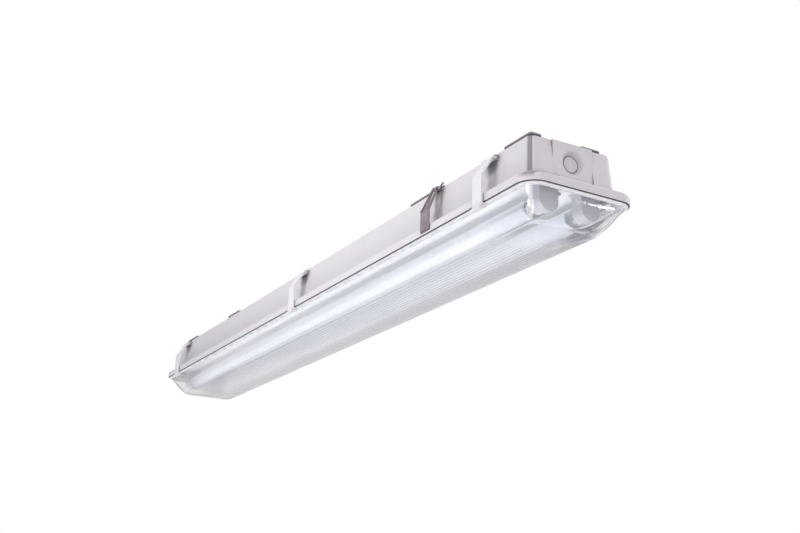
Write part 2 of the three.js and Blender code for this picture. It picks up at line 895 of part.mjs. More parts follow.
// The arm's raised edges: a thicker arm with its middle taken out along the same taper
function clipRails(line) {
  const wide = clipWidth / 2 - clipBeadWidth;
  const narrow = clipTopWidth / 2 - clipBeadWidth;
  const top = eyeHeight + eyeOuterRadius + cutOverrun;
  const middle = outline([
    [-wide, -clipKinkDrop - clipWidth],
    [wide, -clipKinkDrop - clipWidth],
    [wide, -clipKinkDrop],
    [narrow, -clipSlotTopDrop],
    [narrow, top],
    [-narrow, top],
    [-narrow, -clipSlotTopDrop],
    [-wide, -clipKinkDrop],
  ]);
  const arm = alongX(sheet(line, clipSheet + clipBeadHeight), -clipWidth / 2, clipWidth / 2);
  return build(arm, [], [alongY(middle, -clipPlateReach - clipWidth, clipTabLength)]);
}

function clip() {
  const half = clipWidth / 2;
  const kink = [-clipPlateReach, -clipKinkDrop];
  const strap = sheet([
    [-flangeOutline.y + clipLipDepth, clipLipHeight],
    [-clipPlateReach, clipLipHeight],
    kink,
    armTop,
  ], clipSheet);
  const tabEnd = -eyeReach + clipTabLength;
  const tabTop = seatGap + clipSheet;
  const narrow = clipTopWidth / 2;
  const armOutside = -clipPlateReach - clipWidth;
  return build(alongX(strap, -half, half), [
    clipRails([kink, armTop]),
    pinX(eyeOuterRadius, -narrow, narrow, -eyeReach, eyeHeight),
    box(-narrow, narrow, -eyeReach, tabEnd, seatGap, tabTop),
  ], [
    clipTaper(-1),
    clipTaper(1),
    pinX(clipEyeBore, -half - cutOverrun, half + cutOverrun, -eyeReach, eyeHeight),
    box(-clipSlotWidth / 2, clipSlotWidth / 2, armOutside, 0, -clipSlotBottomDrop, -clipSlotTopDrop),
    box(cutOverrun, half, armOutside, -eyeReach + eyeOuterRadius + cutOverrun,
      -clipSlotTopDrop - clipSheet, eyeHeight + eyeOuterRadius + cutOverrun),
    pinZ(clipScrewRadius + seatGap, -cutOverrun, tabTop + cutOverrun, 0, -clipScrewReach, smallSides),
  ]);
}

// Pan headed screw with its head up, drawn from the seat under its head
function panScrew(radius, length, headRadius, headHeight) {
  return turnedZ([
    [0, -length],
    [radius, -length + radius],
    [radius, 0],
    [headRadius, 0],
    [headRadius, headHeight / 2],
    [headRadius - headHeight / 2, headHeight],
    [0, headHeight],
  ], smallSides);
}

// The hook's wire lies in the eye, dips in a loop beside it and stands up past the back edge
function hangerHook() {
  const narrow = clipTopWidth / 2;
  const side = narrow + 2 * hookWire;
  return wire([
    [-narrow - 2 * hookWire, 0, 0],
    [-narrow / 2, 0, 0],
    [0, 0, 0],
    [narrow / 3, -hookWire / 2, -hookWire / 2],
    [narrow - hookWire, -hookLoopDrop / 2, -hookLoopDrop],
    [side - hookWire, -hookLoopDrop * 2 / 3, -hookLoopDrop - hookWire],
    [side, -hookLoopDrop / 2, -hookLoopDrop / 2],
    [side, 0, hookRise / 4],
    [side, hookLean / 3, hookRise / 2],
    [side - hookWire, hookLean * 2 / 3, hookRise * 3 / 4],
  ], hookWire, hookSteps, wireSides);
}

const clipShape = clip();
const hookShape = hangerHook();
const clipScrew = panScrew(
  clipScrewRadius,
  wallThickness + 2 * clipSheet,
  2 * clipScrewRadius,
  clipScrewRadius,
);
const clipScrewSeat = 2 * seatGap + clipSheet;
[['near', front, clipNearX], ['far', rear, -clipFarX]].forEach(([name, group, x]) => {
  place(group, `hanger_clip_${name}`, clipShape, stainless, x);
  place(group, `clip_screw_${name}`, clipScrew, zincSteel, x, -clipScrewReach, clipScrewSeat);
  place(group, `hanger_hook_${name}`, hookShape, stainless, x, -eyeReach, eyeHeight);
});

// Gear tray: a folded sheet with turned-up long edges, a pressed ridge between the lamps and studs

const holderRows = [-lampReach, lampReach];
const ballastEnd = ballastLength / 2;
const studTop = trayBack + gearScrewLength;
const gearStudY = (ridgeFootHalf + ballastWidth / 2) / 2;
const blockCentreX = backOutline.x - blockEndInset;
const earthStudX = blockCentreX - earthStudSpacing;
const ballastStuds = [
  [ballastCentreX - ballastEnd - ballastFootLength / 2, -gearStudY],
  [ballastCentreX + ballastEnd + ballastFootLength / 2, gearStudY],
];

function ridgeSolid(shrink, rise) {
  const length = screwRowX - 2 * bossRadius - ridgeFootHalf;
  const foot = { x: length, y: ridgeFootHalf, r: ridgeFootHalf / 2 };
  const top = {
    x: length - ridgeFootHalf + ridgeTopHalf,
    y: ridgeTopHalf,
    r: ridgeTopHalf / 2,
  };
  return skin([
    ring(grown(foot, -shrink), trayBack + rise),
    ring(grown(foot, -shrink), trayFace + rise),
    ring(grown(top, -shrink), trayFace - ridgeHeight + rise),
  ], false);
}

function gearTray() {
  const edge = trayBack + trayTurnUp;
  const section = sheet([
    [-trayHalfWidth, edge],
    [-trayHalfWidth, trayFace],
    [trayHalfWidth, trayFace],
    [trayHalfWidth, edge],
  ], traySheet);
  const hole = screwRadius + 2 * seatGap;
  const screwHoles = [-screwRowY, 0, screwRowY].flatMap((y) => halfTurned(
    pinZ(hole, trayFace - cutOverrun, trayBack + cutOverrun, screwRowX, y, smallSides),
  ));
  const pegLength = holderPegLength / 2 + seatGap;
  const pegWidth = holderPegWidth / 2 + seatGap;
  const pegHoles = holderRows.flatMap((y) => halfTurned(box(
    holderMiddle - pegLength,
    holderMiddle + pegLength,
    y - pegWidth,
    y + pegWidth,
    trayFace - cutOverrun,
    trayBack + cutOverrun,
  )));
  const studs = [...ballastStuds, [earthStudX, gearStudY]].map(([x, y]) => (
    pinZ(screwRadius, trayFace + traySheet / 2, studTop, x, y, smallSides)
  ));
  return build(
    alongX(section, -trayHalfLength, trayHalfLength),
    [ridgeSolid(0, 0), ...studs],
    [ridgeSolid(traySheet, traySheet), ...screwHoles, ...pegHoles],
  );
}

place(fixture, 'gear_tray', gearTray(), whiteEnamel);

const trayScrew = panScrew(screwRadius, screwLength, screwHeadRadius, screwHeadHeight);
trayScrew.rotateX(Math.PI);
const screwNames = { front: -1, middle: 0, rear: 1 };
Object.entries(screwNames).forEach(([name, side]) => {
  const seat = trayFace - seatGap;
  const y = side * screwRowY;
  place(nearEnd, `tray_screw_near_${name}`, trayScrew, zincSteel, screwRowX, y, seat);
  place(farEnd, `tray_screw_far_${name}`, trayScrew, zincSteel, screwRowX, -y, seat);
});

// Ballast with slotted feet, held on the tray's studs by nuts

function ballast() {
  const low = trayBack + seatGap;
  const half = ballastWidth / 2;
  const top = low + ballastHeight;
  const section = outline([
    [-half, low],
    [half, low],
    [half, top - ballastEdge],
    [half - ballastEdge, top],
    [-half + ballastEdge, top],
    [-half, top - ballastEdge],
  ]);
  const start = ballastCentreX - ballastEnd;
  const end = ballastCentreX + ballastEnd;
  const footTop = low + ballastFootHeight;
  const holeTop = footTop + cutOverrun;
  return build(alongX(section, start, end), [
    box(start - ballastFootLength, start + ballastEdge, -half, half, low, footTop),
    box(end - ballastEdge, end + ballastFootLength, -half, half, low, footTop),
  ], ballastStuds.map(([x, y]) => (
    pinZ(screwRadius + seatGap, low - cutOverrun, holeTop, x, y, smallSides)
  )));
}

place(fixture, 'ballast', ballast(), gearCase);

// Hexagon nut, open through the middle
function nut() {
  const inner = screwRadius + seatGap;
  const outer = 2 * screwRadius;
  return turnedZ([
    [inner, 0],
    [outer, 0],
    [outer, gearNutHeight],
    [inner, gearNutHeight],
    [inner, 0],
  ], smallSides / 2);
}

const nutShape = nut();
const nutSeat = trayBack + 2 * seatGap + ballastFootHeight;
place(fixture, 'ballast_nut_far', nutShape, zincSteel, ...ballastStuds[0], nutSeat);
place(fixture, 'ballast_nut_near', nutShape, zincSteel, ...ballastStuds[1], nutSeat);
place(fixture, 'earth_nut', nutShape, brass, earthStudX, gearStudY, trayBack + seatGap);

// Terminal block with a row of wire wells in each long side and screw wells on top

function terminalBlock() {
  const low = trayBack + seatGap;
  const half = blockWidth / 2;
  const top = low + blockHeight;
  const base = box(
    blockCentreX - blockLength / 2,
    blockCentreX + blockLength / 2,
    -half,
    half,
    low,
    top,
  );
  const outside = half + cutOverrun;
  const middle = low + blockHeight / 2;
  const wells = [-blockWellPitch, 0, blockWellPitch].flatMap((offset) => {
    const x = blockCentreX + offset;
    return [
      pinZ(blockWellRadius, top - blockScrewDepth, top + cutOverrun, x, 0, smallSides),
      pinY(blockWellRadius, -outside, -half + blockWellDepth, x, middle, smallSides),
      pinY(blockWellRadius, half - blockWellDepth, outside, x, middle, smallSides),
    ];
  });
  return build(base, [], wells);
}

place(fixture, 'terminal_block', terminalBlock(), blockPlastic);

// Lampholders, drawn from their face at the lamp's axis: a round-bottomed body on a foot under the
// tray, a peg through it, a recess for the rotor and a slot that the lamp's pins enter by

function lampholder() {
  const top = trayFace - seatGap - lampAxis;
  const body = new THREE.Shape();
  body.moveTo(holderRadius, top);
  body.lineTo(-holderRadius, top);
  body.lineTo(-holderRadius, 0);
  body.absarc(0, 0, holderRadius, Math.PI, 2 * Math.PI);
  const middle = holderThickness / 2;
  const pegTop = trayBack + holderPegRise - lampAxis;
  const recess = rotorLength + 2 * seatGap;
  const slot = pinSlotHalf + seatGap;
  const stubHole = recess + rotorStubLength + seatGap;
  return build(alongX(body, 0, holderThickness, holderBevel), [
    box(-holderFootMargin, holderThickness, -holderFootHalf, holderFootHalf,
      top - holderFootHeight, top),
    box(middle - holderPegLength / 2, middle + holderPegLength / 2,
      -holderPegWidth / 2, holderPegWidth / 2, top - holderFootHeight, pegTop),
  ], [
    pinX(rotorRadius + seatGap, -cutOverrun, recess, 0, 0),
    pinX(rotorStubRadius + seatGap, 0, stubHole, 0, 0, smallSides),
    box(-cutOverrun, recess, -slot, slot, -holderRadius - cutOverrun, 0),
  ]);
}

// The rotor grips both pins in a slot, which lies level when the lamp is locked
function rotor() {
  const front = seatGap;
  const back = front + rotorLength;
  const slotEnd = front + pinSlotDepth;
  return build(pinX(rotorRadius, front, back, 0, 0), [
    pinX(rotorStubRadius, back - seatGap, back + rotorStubLength, 0, 0, smallSides),
  ], [
    box(front - cutOverrun, slotEnd, -rotorRadius - cutOverrun, rotorRadius + cutOverrun,
      -pinSlotHalf, pinSlotHalf),
  ]);
}

const holderShape = lampholder();
const rotorShape = rotor();
const rowNames = { front: -lampReach, rear: lampReach };
Object.entries(rowNames).forEach(([name, y]) => {
  place(nearEnd, `lampholder_near_${name}`, holderShape, holderPlastic, holderFace, y, lampAxis);
  place(farEnd, `lampholder_far_${name}`, holderShape, holderPlastic, holderFace, -y, lampAxis);
  place(nearEnd, `rotor_near_${name}`, rotorShape, blockPlastic, holderFace, y, lampAxis);
  place(farEnd, `rotor_far_${name}`, rotorShape, blockPlastic, holderFace, -y, lampAxis);
});

// Lamps: an open-ended glass tube, and a metal cap with two pins over each end

function lampTube() {
  const half = lampLength / 2 - 2 * seatGap - capSheet;
  const inner = tubeRadius - tubeWall;
  return turnedX([
    [inner, -half],
    [tubeRadius, -half],
    [tubeRadius, half],
    [inner, half],
    [inner, -half],
  ]);
}

// Drawn from the middle of the cap's outer face
function lampCap() {
  const inner = tubeRadius + seatGap;
  const cup = turnedX([
    [0, -capSheet],
    [inner, -capSheet],
    [inner, -capLength],
    [capRadius, -capLength],
    [capRadius, 0],
    [0, 0],
  ]);
  const pins = [-pinPitch / 2, pinPitch / 2].map((y) => (
    pinX(pinRadius, -capSheet / 2, pinLength, y, 0, wireSides)
  ));
  return build(cup, pins, []);
}

const tubeShape = lampTube();
const capShape = lampCap();
Object.entries(rowNames).forEach(([name, y]) => {
  const end = lampLength / 2;
  place(fixture, `lamp_tube_${name}`, tubeShape, lampGlass, 0, y, lampAxis);
  place(nearEnd, `lamp_cap_near_${name}`, capShape, capMetal, end, y, lampAxis);
  place(farEnd, `lamp_cap_far_${name}`, capShape, capMetal, end, -y, lampAxis);
});

// Leads run above the tray, from the ballast's ends to the lampholders' pegs and to the block

function holderLead(side, y) {
  const start = ballastCentreX + side * (ballastEnd + seatGap);
  const end = side * holderMiddle;
  const rest = trayBack + leadRadius + seatGap + leadRise / 3;
  const lift = rest + leadRise;
  const pegTop = trayBack + holderPegRise + seatGap;
  const turn = side * ballastWidth;
  const startY = Math.sign(y) * ballastWidth / 4;
  return wire([
    [start, startY, lift],
    [start + turn / 3, startY, lift],
    [start + turn, y * 2 / 3, lift - leadRise / 3],
    [start + 2 * turn, y, rest],
    [(start + end) / 2, y, rest],
    [end - turn, y, rest],
    [end - turn / 3, y, pegTop + leadRise],
    [end, y, pegTop + leadRise / 2],
    [end, y, pegTop],
  ], leadRadius, leadSteps, leadSides);
}

function supplyLead() {
  const start = ballastCentreX + ballastEnd + seatGap;
  const end = blockCentreX - blockLength / 2 - seatGap;
  const rest = trayBack + leadRadius + seatGap + leadRise / 3;
  const lift = rest + leadRise;
  const turn = ballastWidth;
  return wire([
    [start, 0, lift],
    [start + turn / 3, 0, lift],
    [start + turn, 0, rest],
    [(start + end) / 2, 0, rest],
    [end - turn / 2, 0, rest],
    [end - turn / 4, 0, rest + leadRise / 3],
    [end, 0, rest + leadRise / 3],
  ], leadRadius, leadSteps, leadSides);
}

Object.entries(rowNames).forEach(([name, y]) => {
  place(fixture, `lead_near_${name}`, holderLead(1, y), leadJacket);
  place(fixture, `lead_far_${name}`, holderLead(-1, y), leadJacket);
});
place(fixture, 'lead_supply', supplyLead(), leadJacket);

export default fixture;
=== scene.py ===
"""Looks for the vapor tight light fixture.

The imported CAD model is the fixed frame. Each class below stands for one sub-assembly: it holds
its sizes in millimetres, builds smooth meshes where the frame has its solids, and dresses them
in procedural finishes. X runs along the fixture to its near end, -Y is the front long side and
+Z points up to the ceiling.
"""

import sys

import logging
import math
from dataclasses import dataclass, field
from enum import Enum
from typing import Callable, ClassVar, Iterable, Sequence

import bmesh
import bpy
from mathutils import Matrix, Vector

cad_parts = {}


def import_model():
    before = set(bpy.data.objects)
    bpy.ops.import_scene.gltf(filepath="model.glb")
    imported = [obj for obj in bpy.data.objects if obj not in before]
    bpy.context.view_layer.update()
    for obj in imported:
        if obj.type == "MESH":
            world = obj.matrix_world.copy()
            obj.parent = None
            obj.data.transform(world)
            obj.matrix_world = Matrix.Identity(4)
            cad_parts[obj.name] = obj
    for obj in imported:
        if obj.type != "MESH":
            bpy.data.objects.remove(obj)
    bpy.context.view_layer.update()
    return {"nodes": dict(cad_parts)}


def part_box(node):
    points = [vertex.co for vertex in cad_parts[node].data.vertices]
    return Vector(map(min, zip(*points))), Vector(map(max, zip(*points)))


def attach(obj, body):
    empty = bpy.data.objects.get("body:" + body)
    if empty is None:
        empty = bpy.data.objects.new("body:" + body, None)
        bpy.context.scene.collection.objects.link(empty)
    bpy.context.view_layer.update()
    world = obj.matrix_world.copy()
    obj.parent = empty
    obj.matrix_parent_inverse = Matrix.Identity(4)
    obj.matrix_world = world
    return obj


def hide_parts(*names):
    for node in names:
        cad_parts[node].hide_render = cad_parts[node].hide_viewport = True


Pair = tuple[float, float]
Triple = tuple[float, float, float]
Colour = tuple[float, float, float]
Piece = bpy.types.Object
Socket = bpy.types.NodeSocket

HALF_TURN = Matrix.Rotation(math.pi, 4, "Z")
MM = 0.001
# How far a tool runs past the face that it cuts, and how near two points are one (mm)
OVER = 1.0
WELD = 0.001
# The rounding at a wire's ends, as shares of its radius
WIRE_END_RUN = 0.35
WIRE_END_RADIUS = 0.55
# The share of a side that a rounding may take, and half a straight corner in degrees
ROUNDING_ROOM = 0.45
STRAIGHT = 88.0
# The mix node's colour inputs and its colour result
MIX_COLOURS = (6, 7)
MIX_RESULT = 2
WHITE = (1.0, 1.0, 1.0)

log = logging.getLogger("fixture")


class Axis(Enum):
    """The frame axis that a turned or drawn shape is made along."""

    X = "X"
    Y = "Y"
    Z = "Z"


class Work(Enum):
    """What a tool does to the piece it is set against."""

    JOIN = "UNION"
    CUT = "DIFFERENCE"


class Side(Enum):
    """The side or end a piece belongs to; the second of each pair is turned half round."""

    FRONT = "front"
    REAR = "rear"
    NEAR = "near"
    FAR = "far"

    @property
    def turned(self) -> bool:
        """Tells whether the piece is drawn half a turn round Z from the first of its pair."""
        return self in (Side.REAR, Side.FAR)


class DisplayCurve:
    """The curve between the levels of a display and linear light."""

    TOP = 255
    TOE = 0.04045
    TOE_SLOPE = 12.92
    LIFT = 0.055
    POWER = 2.4

    @classmethod
    def straight(cls, level: int) -> float:
        """Undoes the curve for one level.

        Args:
            level: From 0 to 255.

        Returns:
            The linear value.
        """
        share = level / cls.TOP
        if share <= cls.TOE:
            return share / cls.TOE_SLOPE
        return ((share + cls.LIFT) / (1 + cls.LIFT)) ** cls.POWER


def tone(red: int, green: int, blue: int) -> Colour:
    """Turns a display colour into a linear one."""
    return tuple(DisplayCurve.straight(level) for level in (red, green, blue))


# Finishes


@dataclass(frozen=True)
class Grain:
    """A noise on a piece: its grains' size in millimetres, its layers and its stretch."""

    size: float
    detail: float = 3.0
    stretch: Triple = (1.0, 1.0, 1.0)


class FinishSheet:
    """The shader nodes of one material, with short ways to add the usual ones."""

    LAYER_WEIGHT = 0.55

    def __init__(self, name: str) -> None:
        """Starts a material with a shader, an output and the piece's own coordinates.

        Args:
            name: The material's name.
        """
        self.material = bpy.data.materials.new(name)
        self.material.use_nodes = True
        self.tree = self.material.node_tree
        self.tree.nodes.clear()
        self.noises: dict[Grain, Socket] = {}
        self.output = self.node("ShaderNodeOutputMaterial")
        self.shader = self.node("ShaderNodeBsdfPrincipled")
        self.link(self.shader.outputs["BSDF"], self.output.inputs["Surface"])
        self.place = self.node("ShaderNodeTexCoord").outputs["Object"]

    def node(self, kind: str) -> bpy.types.Node:
        """Adds one node of a kind."""
        return self.tree.nodes.new(kind)

    def link(self, start: Socket, end: Socket) -> None:
        """Joins an output socket to an input socket."""
        self.tree.links.new(start, end)

    def to(self, source: Socket, socket: str) -> None:
        """Links a source to one of the shader's sockets."""
        self.link(source, self.shader.inputs[socket])

    def set(self, **values: float | Sequence[float]) -> None:
        """Sets plain values on the shader's own sockets.

        Args:
            **values: Socket names in small letters with underscores, and their values.
        """
        for name, value in values.items():
            words = name.replace("_", " ").lower()
            socket = next(s for s in self.shader.inputs if s.name.lower() == words)
            socket.default_value = (*value, 1.0) if socket.type == "RGBA" else value

    def noise(self, grain: Grain) -> Socket:
        """Adds a noise, or gives the one that is there for the same grain.

        Args:
            grain: The noise's sizes.

        Returns:
            The noise's value.
        """
        if grain not in self.noises:
            mapping = self.node("ShaderNodeMapping")
            mapping.inputs["Scale"].default_value = grain.stretch
            self.link(self.place, mapping.inputs["Vector"])
            noise = self.node("ShaderNodeTexNoise")
            noise.inputs["Scale"].default_value = 1.0 / (grain.size * MM)
            noise.inputs["Detail"].default_value = grain.detail
            noise.inputs["Roughness"].default_value = self.LAYER_WEIGHT
            self.link(mapping.outputs["Vector"], noise.inputs["Vector"])
            self.noises[grain] = noise.outputs["Fac"]
        return self.noises[grain]

    def ramp(self, source: Socket, places: Pair, low: Colour, high: Colour) -> Socket:
        """Turns a value into a colour between two.

        Args:
            source: The value.
            places: The values at which the two colours are reached.
            low: The colour at the first place.
            high: The colour at the second place.

        Returns:
            The colour.
        """
        ramp = self.node("ShaderNodeValToRGB")
        for stop, place, colour in zip(ramp.color_ramp.elements, places, (low, high)):
            stop.position = place
            stop.color = (*colour, 1.0)
        self.link(source, ramp.inputs["Fac"])
        return ramp.outputs["Color"]

    def spread(self, source: Socket, low: float, high: float,
               start: float = 0.3, end: float = 0.7) -> Socket:
        """Spreads a value between two others.

        Args:
            source: The value.
            low: What the start becomes.
            high: What the end becomes.
            start: The source's value at the low end.
            end: The source's value at the high end.

        Returns:
            The spread value.
        """
        spread = self.node("ShaderNodeMapRange")
        for socket, value in (("From Min", start), ("From Max", end), ("To Min", low),
                              ("To Max", high)):
            spread.inputs[socket].default_value = value
        self.link(source, spread.inputs["Value"])
        return spread.outputs["Result"]

    def blend(self, share: Socket | float, first: Socket | Colour, second: Socket | Colour,
              kind: str = "MIX") -> Socket:
        """Mixes two colours by a share.

        Args:
            share: From 0 for the first colour to 1 for the second.
            first: A colour or a colour socket.
            second: A colour or a colour socket.
            kind: The node's way of mixing, such as MIX or MULTIPLY.

        Returns:
            The mixed colour.
        """
        mix = self.node("ShaderNodeMix")
        mix.data_type = "RGBA"
        mix.blend_type = kind
        low, high = MIX_COLOURS
        for socket, value in ((mix.inputs["Factor"], share), (mix.inputs[low], first),
                              (mix.inputs[high], second)):
            if isinstance(value, tuple):
                socket.default_value = (*value, 1.0)
            elif isinstance(value, float):
                socket.default_value = value
            else:
                self.link(value, socket)
        return mix.outputs[MIX_RESULT]

    def maths(self, kind: str, first: Socket | float, second: Socket | float = 0.0) -> Socket:
        """Adds one sum.

        Args:
            kind: The node's operation, such as MULTIPLY or MAXIMUM.
            first: A value or a value socket.
            second: A value or a value socket.

        Returns:
            The result.
        """
        maths = self.node("ShaderNodeMath")
        maths.operation = kind
        for socket, value in zip(maths.inputs, (first, second)):
            if isinstance(value, float):
                socket.default_value = value
            else:
                self.link(value, socket)
        return maths.outputs["Value"]

    def zone(self, source: Socket, limits: Pair, unit: float = MM) -> Socket:
        """Rises from 0 to 1 between two limits, or falls where the first is the higher.

        Args:
            source: The value to compare.
            limits: Where the share is 0, and where it is 1.
            unit: The limits' unit.

        Returns:
            The share.
        """
        low, high = sorted(limits)
        ends = (0.0, 1.0) if limits[0] < limits[1] else (1.0, 0.0)
        return self.spread(source, *ends, low * unit, high * unit)

    def part(self, source: Socket, axis: Axis) -> Socket:
        """Takes one axis's part out of a place or a direction.

        Args:
            source: The place or the direction.
            axis: The axis whose part is taken.

        Returns:
            The part.
        """
        parts = self.node("ShaderNodeSeparateXYZ")
        self.link(source, parts.inputs["Vector"])
        return parts.outputs[axis.value]

    def across(self, axis: Axis) -> Socket:
        """Gives the distance from the middle plane along one axis, in metres."""
        return self.maths("ABSOLUTE", self.part(self.place, axis))

    def bump(self, height: Socket, depth: float, strength: float = 1.0) -> None:
        """Raises the surface by a height, after any bump that is already there.

        Args:
            height: The height's pattern, from 0 to 1.
            depth: How far the pattern stands up, in millimetres.
            strength: How much of the bump shows.
        """
        bump = self.node("ShaderNodeBump")
        bump.inputs["Distance"].default_value = depth * MM
        bump.inputs["Strength"].default_value = strength
        self.link(height, bump.inputs["Height"])
        normal = self.shader.inputs["Normal"]
        if normal.is_linked:
            self.link(normal.links[0].from_socket, bump.inputs["Normal"])
        self.link(bump.outputs["Normal"], normal)

    def absorb(self, colour: Colour, density: float) -> None:
        """Darkens light on its way through the material.

        Args:
            colour: What long ways through the material take on.
            density: How fast they do, per metre.
        """
        inside = self.node("ShaderNodeVolumeAbsorption")
        inside.inputs["Color"].default_value = (*colour, 1.0)
        inside.inputs["Density"].default_value = density
        self.link(inside.outputs["Volume"], self.output.inputs["Volume"])


@dataclass(frozen=True)
class Finish:
    """A finish that clouds between two tones, with a relief, and a gloss that varies.

    The gloss follows the clouds where it has no grain of its own.
    """

    name: str
    colour: Colour
    stain: Colour = WHITE
    roughness: float = 0.45
    swing: Pair = (-0.05, 0.05)
    cloud: Grain = Grain(60.0)
    places: Pair = (0.3, 0.7)
    gloss: Grain | None = None
    relief: Grain = Grain(1.0)
    depth: float = 0.02
    strength: float = 0.5
    values: dict[str, float] = field(default_factory=dict)

    def tinted(self, sheet: FinishSheet) -> Socket:
        """Gives the clouded colour."""
        return sheet.ramp(sheet.noise(self.cloud), self.places, self.stain, self.colour)

    def dye(self, sheet: FinishSheet) -> None:
        """Gives the shader its colour."""
        sheet.to(self.tinted(sheet), "Base Color")

    def make(self) -> bpy.types.Material:
        """Builds the material.

        Returns:
            The finished material.
        """
        sheet = FinishSheet(self.name)
        self.dye(sheet)
        ends = (self.roughness + change for change in self.swing)
        sheet.to(sheet.spread(sheet.noise(self.gloss or self.cloud), *ends), "Roughness")
        sheet.bump(sheet.noise(self.relief), self.depth, self.strength)
        sheet.set(**self.values)
        return sheet.material


@dataclass(frozen=True)
class Moulding(Finish):
    """A moulded plastic with faint specks, and where it is asked for, painted shade in its hollows
    and down its upright corners.
    """

    swing: Pair = (-0.06, 0.07)
    cloud: Grain = Grain(60.0, 4.0)
    places: Pair = (0.3, 0.62)
    relief: Grain = Grain(0.8)
    depth: float = 0.03
    values: dict[str, float] = field(default_factory=lambda: {"ior": 1.5})
    speck: Grain = Grain(2.0, 2.0)
    speck_colour: Colour = (0.955, 0.95, 0.955)
    speck_places: Pair = (0.34, 0.5)
    speck_share: float = 0.6
    # Painted shade: where ambient occlusion finds hollows and creases, the colour darkens to this
    # share of the stain
    hollow_shade: float = 1.0
    hollow_shade_reach: float = 14.0
    hollow_shade_places: Pair = (0.5, 1.0)
    hollow_shade_samples: int = 6
    # Painted shade: the shares by which the colour darkens down the upright corners, between the
    # lit long side and the end
    corner: Colour = WHITE
    corner_shade_turn: tuple[Pair, Pair] = ((0.1, 0.45), (0.86, 0.8))
    corner_shade_side: Pair = (34.0, 38.0)
    corner_shade_foot: Pair = (-66.0, -60.0)

    def corner_shade_mask(self, sheet: FinishSheet) -> Socket:
        """Finds the upright corners of the walls, where painted shade goes.

        Args:
            sheet: The material's nodes.

        Returns:
            From 0 on the flat walls to 1 down the longer side of each corner.
        """
        normal = sheet.node("ShaderNodeTexCoord").outputs["Normal"]
        turn = sheet.maths("ABSOLUTE", sheet.part(normal, Axis.X))
        rise, fall = self.corner_shade_turn
        share = sheet.zone(turn, rise, 1.0)
        for factor in (sheet.zone(turn, fall, 1.0),
                       sheet.zone(sheet.across(Axis.Y), self.corner_shade_side),
                       sheet.zone(sheet.part(sheet.place, Axis.Z), self.corner_shade_foot)):
            share = sheet.maths("MULTIPLY", share, factor)
        return share

    def dye(self, sheet: FinishSheet) -> None:
        """Gives the shader the specked colour, with painted shade in the hollows and at the
        corners.

        Args:
            sheet: The material's nodes.
        """
        specks = sheet.ramp(sheet.noise(self.speck), self.speck_places, self.speck_colour, WHITE)
        colour = sheet.blend(self.speck_share, self.tinted(sheet), specks, "MULTIPLY")
        # Painted shade in hollows and creases, found by ambient occlusion
        if self.hollow_shade < 1.0:
            hollow_occlusion = sheet.node("ShaderNodeAmbientOcclusion")
            hollow_occlusion.samples = self.hollow_shade_samples
            hollow_occlusion.inputs["Distance"].default_value = self.hollow_shade_reach * MM
            clear = sheet.spread(hollow_occlusion.outputs["AO"], 0.0, 1.0, *self.hollow_shade_places)
            hollow_shade_colour = tuple(value * self.hollow_shade for value in self.stain)
            colour = sheet.blend(clear, hollow_shade_colour, colour)
        # Painted shade down the upright corners of the walls
        if self.corner != WHITE:
            corner_shade_colour = tuple(value * share for value, share in zip(self.stain, self.corner))
            colour = sheet.blend(self.corner_shade_mask(sheet), colour, corner_shade_colour)
        sheet.to(colour, "Base Color")


@dataclass(frozen=True)
class Rubber(Finish):
    """A dull rubber or foam with open pores, its first colour that of the dust on it."""

    roughness: float = 0.8
    swing: Pair = (-0.08, 0.12)
    cloud: Grain = Grain(14.0, 5.0)
    places: Pair = (0.35, 0.7)
    relief: Grain = Grain(1.2, 2.0)
    depth: float = 0.12
    strength: float = 0.6


@dataclass(frozen=True)
class DrawnSteel(Finish):
    """Steel sheet or wire with fine drawn lines along it, and grey smears."""

    roughness: float = 0.5
    swing: Pair = (-0.08, 0.12)
    cloud: Grain = Grain(16.0, 4.0)
    places: Pair = (0.35, 0.65)
    gloss: Grain = Grain(0.7, 3.0, (4.0, 0.3, 0.3))
    relief: Grain = Grain(0.7, 3.0, (4.0, 0.3, 0.3))
    values: dict[str, float] = field(default_factory=lambda: {"metallic": 1.0, "anisotropic": 0.4})


@dataclass(frozen=True)
class Enamel(Finish):
    """White stoved enamel on sheet steel, with a faint orange peel."""

    roughness: float = 0.3
    swing: Pair = (-0.05, 0.08)
    cloud: Grain = Grain(80.0)
    places: Pair = (0.3, 0.65)
    relief: Grain = Grain(2.6, 1.0)
    depth: float = 0.03
    strength: float = 0.4
    values: dict[str, float] = field(
        default_factory=lambda: {"coat_weight": 0.3, "coat_roughness": 0.12})


@dataclass(frozen=True)
class SatinMetal(Finish):
    """Turned, plated or cast metal with fine scratches and a slight stain."""

    roughness: float = 0.3
    swing: Pair = (-0.08, 0.1)
    cloud: Grain = Grain(6.0, 4.0)
    places: Pair = (0.32, 0.6)
    gloss: Grain = Grain(0.9, 3.0, (3.0, 0.6, 0.6))
    relief: Grain = Grain(0.9, 3.0, (3.0, 0.6, 0.6))
    depth: float = 0.015
    strength: float = 0.4
    values: dict[str, float] = field(default_factory=lambda: {"metallic": 1.0})


@dataclass(frozen=True)
class CoatedTube(Finish):
    """Lamp glass over a white powder coating that glows evenly but for its stained ends."""

    roughness: float = 0.12
    swing: Pair = (0.0, 0.1)
    cloud: Grain = Grain(5.0)
    places: Pair = (0.3, 0.5)
    gloss: Grain = Grain(20.0)
    relief: Grain = Grain(12.0, 1.0)
    strength: float = 0.2
    values: dict[str, float] = field(default_factory=lambda: {
        "emission_strength": 0.25, "coat_weight": 0.5, "coat_roughness": 0.05})
    glow: Colour = WHITE
    worn: Pair = (470.0, 592.0)

    def dye(self, sheet: FinishSheet) -> None:
        """Gives the shader the coating's colour and glow, both stained towards the ends.

        Args:
            sheet: The material's nodes.
        """
        worn = sheet.zone(sheet.across(Axis.X), self.worn)
        sheet.to(sheet.blend(worn, self.tinted(sheet), self.stain), "Base Color")
        sheet.to(sheet.blend(worn, self.glow, self.stain), "Emission Color")


